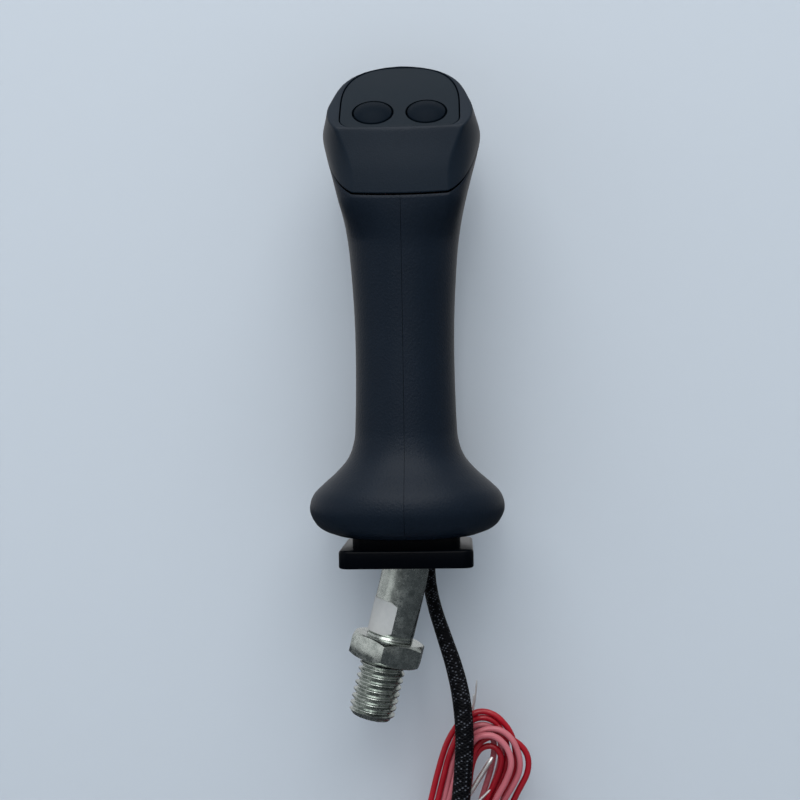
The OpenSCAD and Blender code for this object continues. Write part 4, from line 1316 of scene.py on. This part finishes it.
def wrapped_label(r):
    """Sticker bent round the shank at radius r, with its far corners rounded."""
    def place(c, k):
        a = math.radians(mix(-2, 92, c / 24)) + math.pi
        t = mix(LABEL_TOP, LABEL_LOW, k / 8)
        corner = max(0, 4.5 - min(c, 24 - c)) * 0.5 if k in (0, 8) and c > 12 else 0
        t += corner * (1 if k == 0 else -1) * 0.5
        return Vector((-r * math.cos(a), r * math.sin(a), t)) * MM
    label = grid("label_dressed", 25, 9, place)
    tidy_mesh(label)
    modify(label, "SOLIDIFY", thickness=0.12 * MM, offset=0)
    label.data.transform(THREAD)
    smooth(label, 40)
    return label


def hexagon_nut(r):
    """Nut with turned corners on both faces, bored to radius r."""
    af, high = sizes().nut_af / MM, sizes().nut_h / MM
    corner = af / 2 / math.cos(math.radians(30))
    nut = cylinder("nut", corner, high, (0, 0, -high / 2), 6)
    nut.data.transform(Matrix.Rotation(NUT_TURN, 4, "Z"))
    edge_r, face_r = corner + 0.2, af / 2 - 0.4
    drop = (edge_r - face_r) * math.tan(math.radians(30))
    cut_with(nut, lathe("turned", [(0, -high), (face_r, -high), (edge_r, -high + drop),
                                   (edge_r, -drop), (face_r, 0), (0, 0)], 96), "INTERSECT")
    cut_with(nut, cylinder("bore", r, 3 * high, (0, 0, -high / 2), 64))
    modify(nut, "BEVEL", width=0.25 * MM, segments=3, limit_method="ANGLE",
           angle_limit=math.radians(25))
    nut.data.transform(THREAD)
    nut.name = nut.data.name = "lock_nut_dressed"
    smooth(nut, 30)
    return nut


class JOYSTICK_OT_stud(bpy.types.Operator):
    """Build the bent stud with its helical thread, and the lock nut on it"""
    bl_idname = "joystick.stud"
    bl_label = "Stud and lock nut"

    def execute(self, context):
        r = sizes().stud_d / 2 / MM
        stud = bent_shank(r)
        join(stud, [helical_thread(r)])
        stud.name = stud.data.name = "stud_threaded"
        smooth(stud, 30)
        finish_piece(stud, "zinc_steel", nodes=("stud",))
        finish_piece(wrapped_label(r + 0.1), "label_paper", nodes=("stud_label",))
        finish_piece(hexagon_nut(r), "zinc_steel", "nut", ("lock_nut",))
        return {"FINISHED"}


class JOYSTICK_OT_solids(bpy.types.Operator):
    """Give the solids that keep their own shape the finish of their slots"""
    bl_idname = "joystick.solids"
    bl_label = "Solids"

    def execute(self, context):
        slots = {
            "cable_grommet": "black_rubber", "core_socket": "cast_socket",
            "cross_pin": "zinc_screws", "shell_screws": "zinc_screws",
            "plate_screws": "zinc_screws", "plunger_left": "plunger_nylon",
            "plunger_right": "plunger_nylon", "spring_left": "zinc_screws",
            "spring_right": "zinc_screws", "switch_left": "switch_case",
            "switch_right": "switch_case", "switch_terminals": "terminal_brass",
            "switch_bracket": "bracket_steel", "bracket_screws": "zinc_screws",
            "red_leads": "wire_red", "pink_leads": "wire_pink",
            "sleeve_band": "heat_shrink",
        }
        for node, slot_name in slots.items():
            material = material_of(slot_name)
            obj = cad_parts[node]
            for socket in obj.material_slots:
                socket.material = material
            if not obj.material_slots:
                raise RuntimeError(node + " has no material slot to fill")
        return {"FINISHED"}


# Place of the floor and of the paper behind the grip, and the paper's size, in metres
FLOOR_Z, PAPER_Y, PAPER_W, PAPER_H = -0.1015, 0.036, 1.2, 0.7
# Lamps, as (name, place, width and height, watts), and the point that they face
LAMPS = (("key_softbox", (-0.02, -0.8, 1.2), (1.5, 1.5), 20.0),
         ("strip_softbox", (-0.03, -1.2, 0.6), (0.16, 0.8), 1.6),
         ("side_softbox", (-0.8, -0.5, 0.22), (0.5, 0.5), 0.3))
LAMPS_FACE = Vector((0.009, 0, 0.08))


def flat_sheet(name, matrix, material):
    """Square sheet, laid by a matrix."""
    clear_selection()
    bpy.ops.mesh.primitive_plane_add(size=1)
    obj = bpy.context.object
    obj.name = obj.data.name = name
    obj.data.transform(matrix)
    obj.data.materials.append(material)
    return obj


def plain_floor(paper_colour):
    """Matt floor, dark in what the polished pieces mirror."""
    material, tree = new_material("plain_floor")
    path = add(tree, "ShaderNodeLightPath").outputs["Is Glossy Ray"]
    tone = add(tree, "ShaderNodeMapRange", {"Value": path, "To Min": 1.0,
                                            "To Max": 0.15}).outputs[0]
    colour = add(tree, "ShaderNodeVectorMath", {0: paper_colour[:3], 1: tone},
                 operation="MULTIPLY").outputs[0]
    close(tree, add(tree, "ShaderNodeBsdfDiffuse", {"Color": colour}))
    return material


def backdrop_paper(paper_colour):
    """Matt paper that only the camera sees, and only from the front."""
    material, tree = new_material("backdrop_paper")
    path = add(tree, "ShaderNodeLightPath").outputs["Is Camera Ray"]
    back = add(tree, "ShaderNodeNewGeometry").outputs["Backfacing"]
    front = add(tree, "ShaderNodeMath", {0: 1.0, 1: back}, operation="SUBTRACT").outputs[0]
    share = add(tree, "ShaderNodeMath", {0: path, 1: front}, operation="MULTIPLY").outputs[0]
    clear = add(tree, "ShaderNodeBsdfTransparent").outputs["BSDF"]
    matt = add(tree, "ShaderNodeBsdfDiffuse", {"Color": paper_colour}).outputs["BSDF"]
    both = add(tree, "ShaderNodeMixShader", {0: share, 1: clear, 2: matt})
    add(tree, "ShaderNodeOutputMaterial", {"Surface": both.outputs[0]})
    return material


def surroundings(sky_colour, paper_colour):
    """World that the camera sees as paper, and that lights the grip more from behind, above
    and the left."""
    world = bpy.data.worlds.new("surroundings")
    world.use_nodes = True
    tree = world.node_tree
    tree.nodes.clear()
    seen = add(tree, "ShaderNodeLightPath").outputs["Is Camera Ray"]
    way = add(tree, "ShaderNodeSeparateXYZ", {"Vector": add(
        tree, "ShaderNodeTexCoord").outputs["Generated"]})
    behind = add(tree, "ShaderNodeMapRange", {"Value": way.outputs["Y"], "From Min": -1.0,
                                              "From Max": 1.0, "To Min": 0.4,
                                              "To Max": 0.66}).outputs[0]
    above = add(tree, "ShaderNodeMath", {0: way.outputs["Z"], 1: 0.16, 2: behind},
                operation="MULTIPLY_ADD").outputs[0]
    above = add(tree, "ShaderNodeMath", {0: way.outputs["X"], 1: -0.16, 2: above},
                operation="MULTIPLY_ADD").outputs[0]
    lit = add(tree, "ShaderNodeBackground", {"Color": sky_colour, "Strength": above}).outputs[0]
    plain = add(tree, "ShaderNodeBackground", {"Color": paper_colour,
                                               "Strength": 1.0}).outputs[0]
    both = add(tree, "ShaderNodeMixShader", {0: seen, 1: lit, 2: plain})
    add(tree, "ShaderNodeOutputWorld", {"Surface": both.outputs[0]})
    return world


def softbox(name, place, size, watts):
    """White rectangular lamp that faces the grip."""
    data = bpy.data.lights.new(name, "AREA")
    data.shape = "RECTANGLE"
    data.size, data.size_y = size
    data.energy = watts
    obj = bpy.data.objects.new(name, data)
    bpy.context.scene.collection.objects.link(obj)
    obj.location = place
    obj.rotation_mode = "QUATERNION"
    obj.rotation_quaternion = (LAMPS_FACE - Vector(place)).to_track_quat("-Z", "Y")


class JOYSTICK_OT_stage(bpy.types.Operator):
    """Set up the floor, the paper behind the grip, the lights and the surroundings"""
    bl_idname = "joystick.stage"
    bl_label = "Stage"

    def execute(self, context):
        colours = context.scene.joystick_colours
        paper_colour = list(colours.backdrop) + [1.0]
        floor = flat_sheet("floor", Matrix.Translation((0, 0, FLOOR_Z)) @ Matrix.Scale(6, 4),
                           plain_floor(paper_colour))
        wall = flat_sheet("backdrop", Matrix.Translation((0, PAPER_Y, FLOOR_Z + PAPER_H / 2))
                          @ Matrix.Rotation(math.pi / 2, 4, "X")
                          @ Matrix.Diagonal((PAPER_W, PAPER_H, 1, 1)),
                          backdrop_paper(paper_colour))
        context.scene.world = surroundings(list(colours.sky) + [1.0], paper_colour)
        for lamp in LAMPS:
            softbox(*lamp)
        context.scene.view_settings.view_transform = "Standard"
        context.scene.view_settings.look = "None"
        return {"FINISHED"}


STEPS = (JOYSTICK_OT_camera, JOYSTICK_OT_lead, JOYSTICK_OT_shells, JOYSTICK_OT_head_cover,
         JOYSTICK_OT_panel, JOYSTICK_OT_buttons, JOYSTICK_OT_plate, JOYSTICK_OT_stud,
         JOYSTICK_OT_solids, JOYSTICK_OT_stage)


class JOYSTICK_PT_panel(bpy.types.Panel):
    """Lists the sizes, the colours and the steps"""
    bl_idname = "JOYSTICK_PT_panel"
    bl_label = "Joystick grip"
    bl_space_type = "VIEW_3D"
    bl_region_type = "UI"
    bl_category = "Joystick"

    def draw(self, context):
        """Lays out the settings and a button for each step."""
        for settings in (context.scene.joystick_sizes, context.scene.joystick_colours):
            box = self.layout.box()
            for name in type(settings).__annotations__:
                box.prop(settings, name)
        for step in STEPS:
            self.layout.operator(step.bl_idname)


CLASSES = (JoystickSizes, JoystickColours) + STEPS + (JOYSTICK_PT_panel,)


def register():
    """Registers the classes and hangs the settings on the scene."""
    for cls in CLASSES:
        bpy.utils.register_class(cls)
    bpy.types.Scene.joystick_sizes = PointerProperty(type=JoystickSizes)
    bpy.types.Scene.joystick_colours = PointerProperty(type=JoystickColours)


def unregister():
    """Undoes register."""
    del bpy.types.Scene.joystick_colours
    del bpy.types.Scene.joystick_sizes
    for cls in reversed(CLASSES):
        bpy.utils.unregister_class(cls)


def main():
    """Builds everything in order."""
    register()
    for step in STEPS:
        area, name = step.bl_idname.split(".")
        getattr(getattr(bpy.ops, area), name)()


if __name__ == "__main__":
    main()
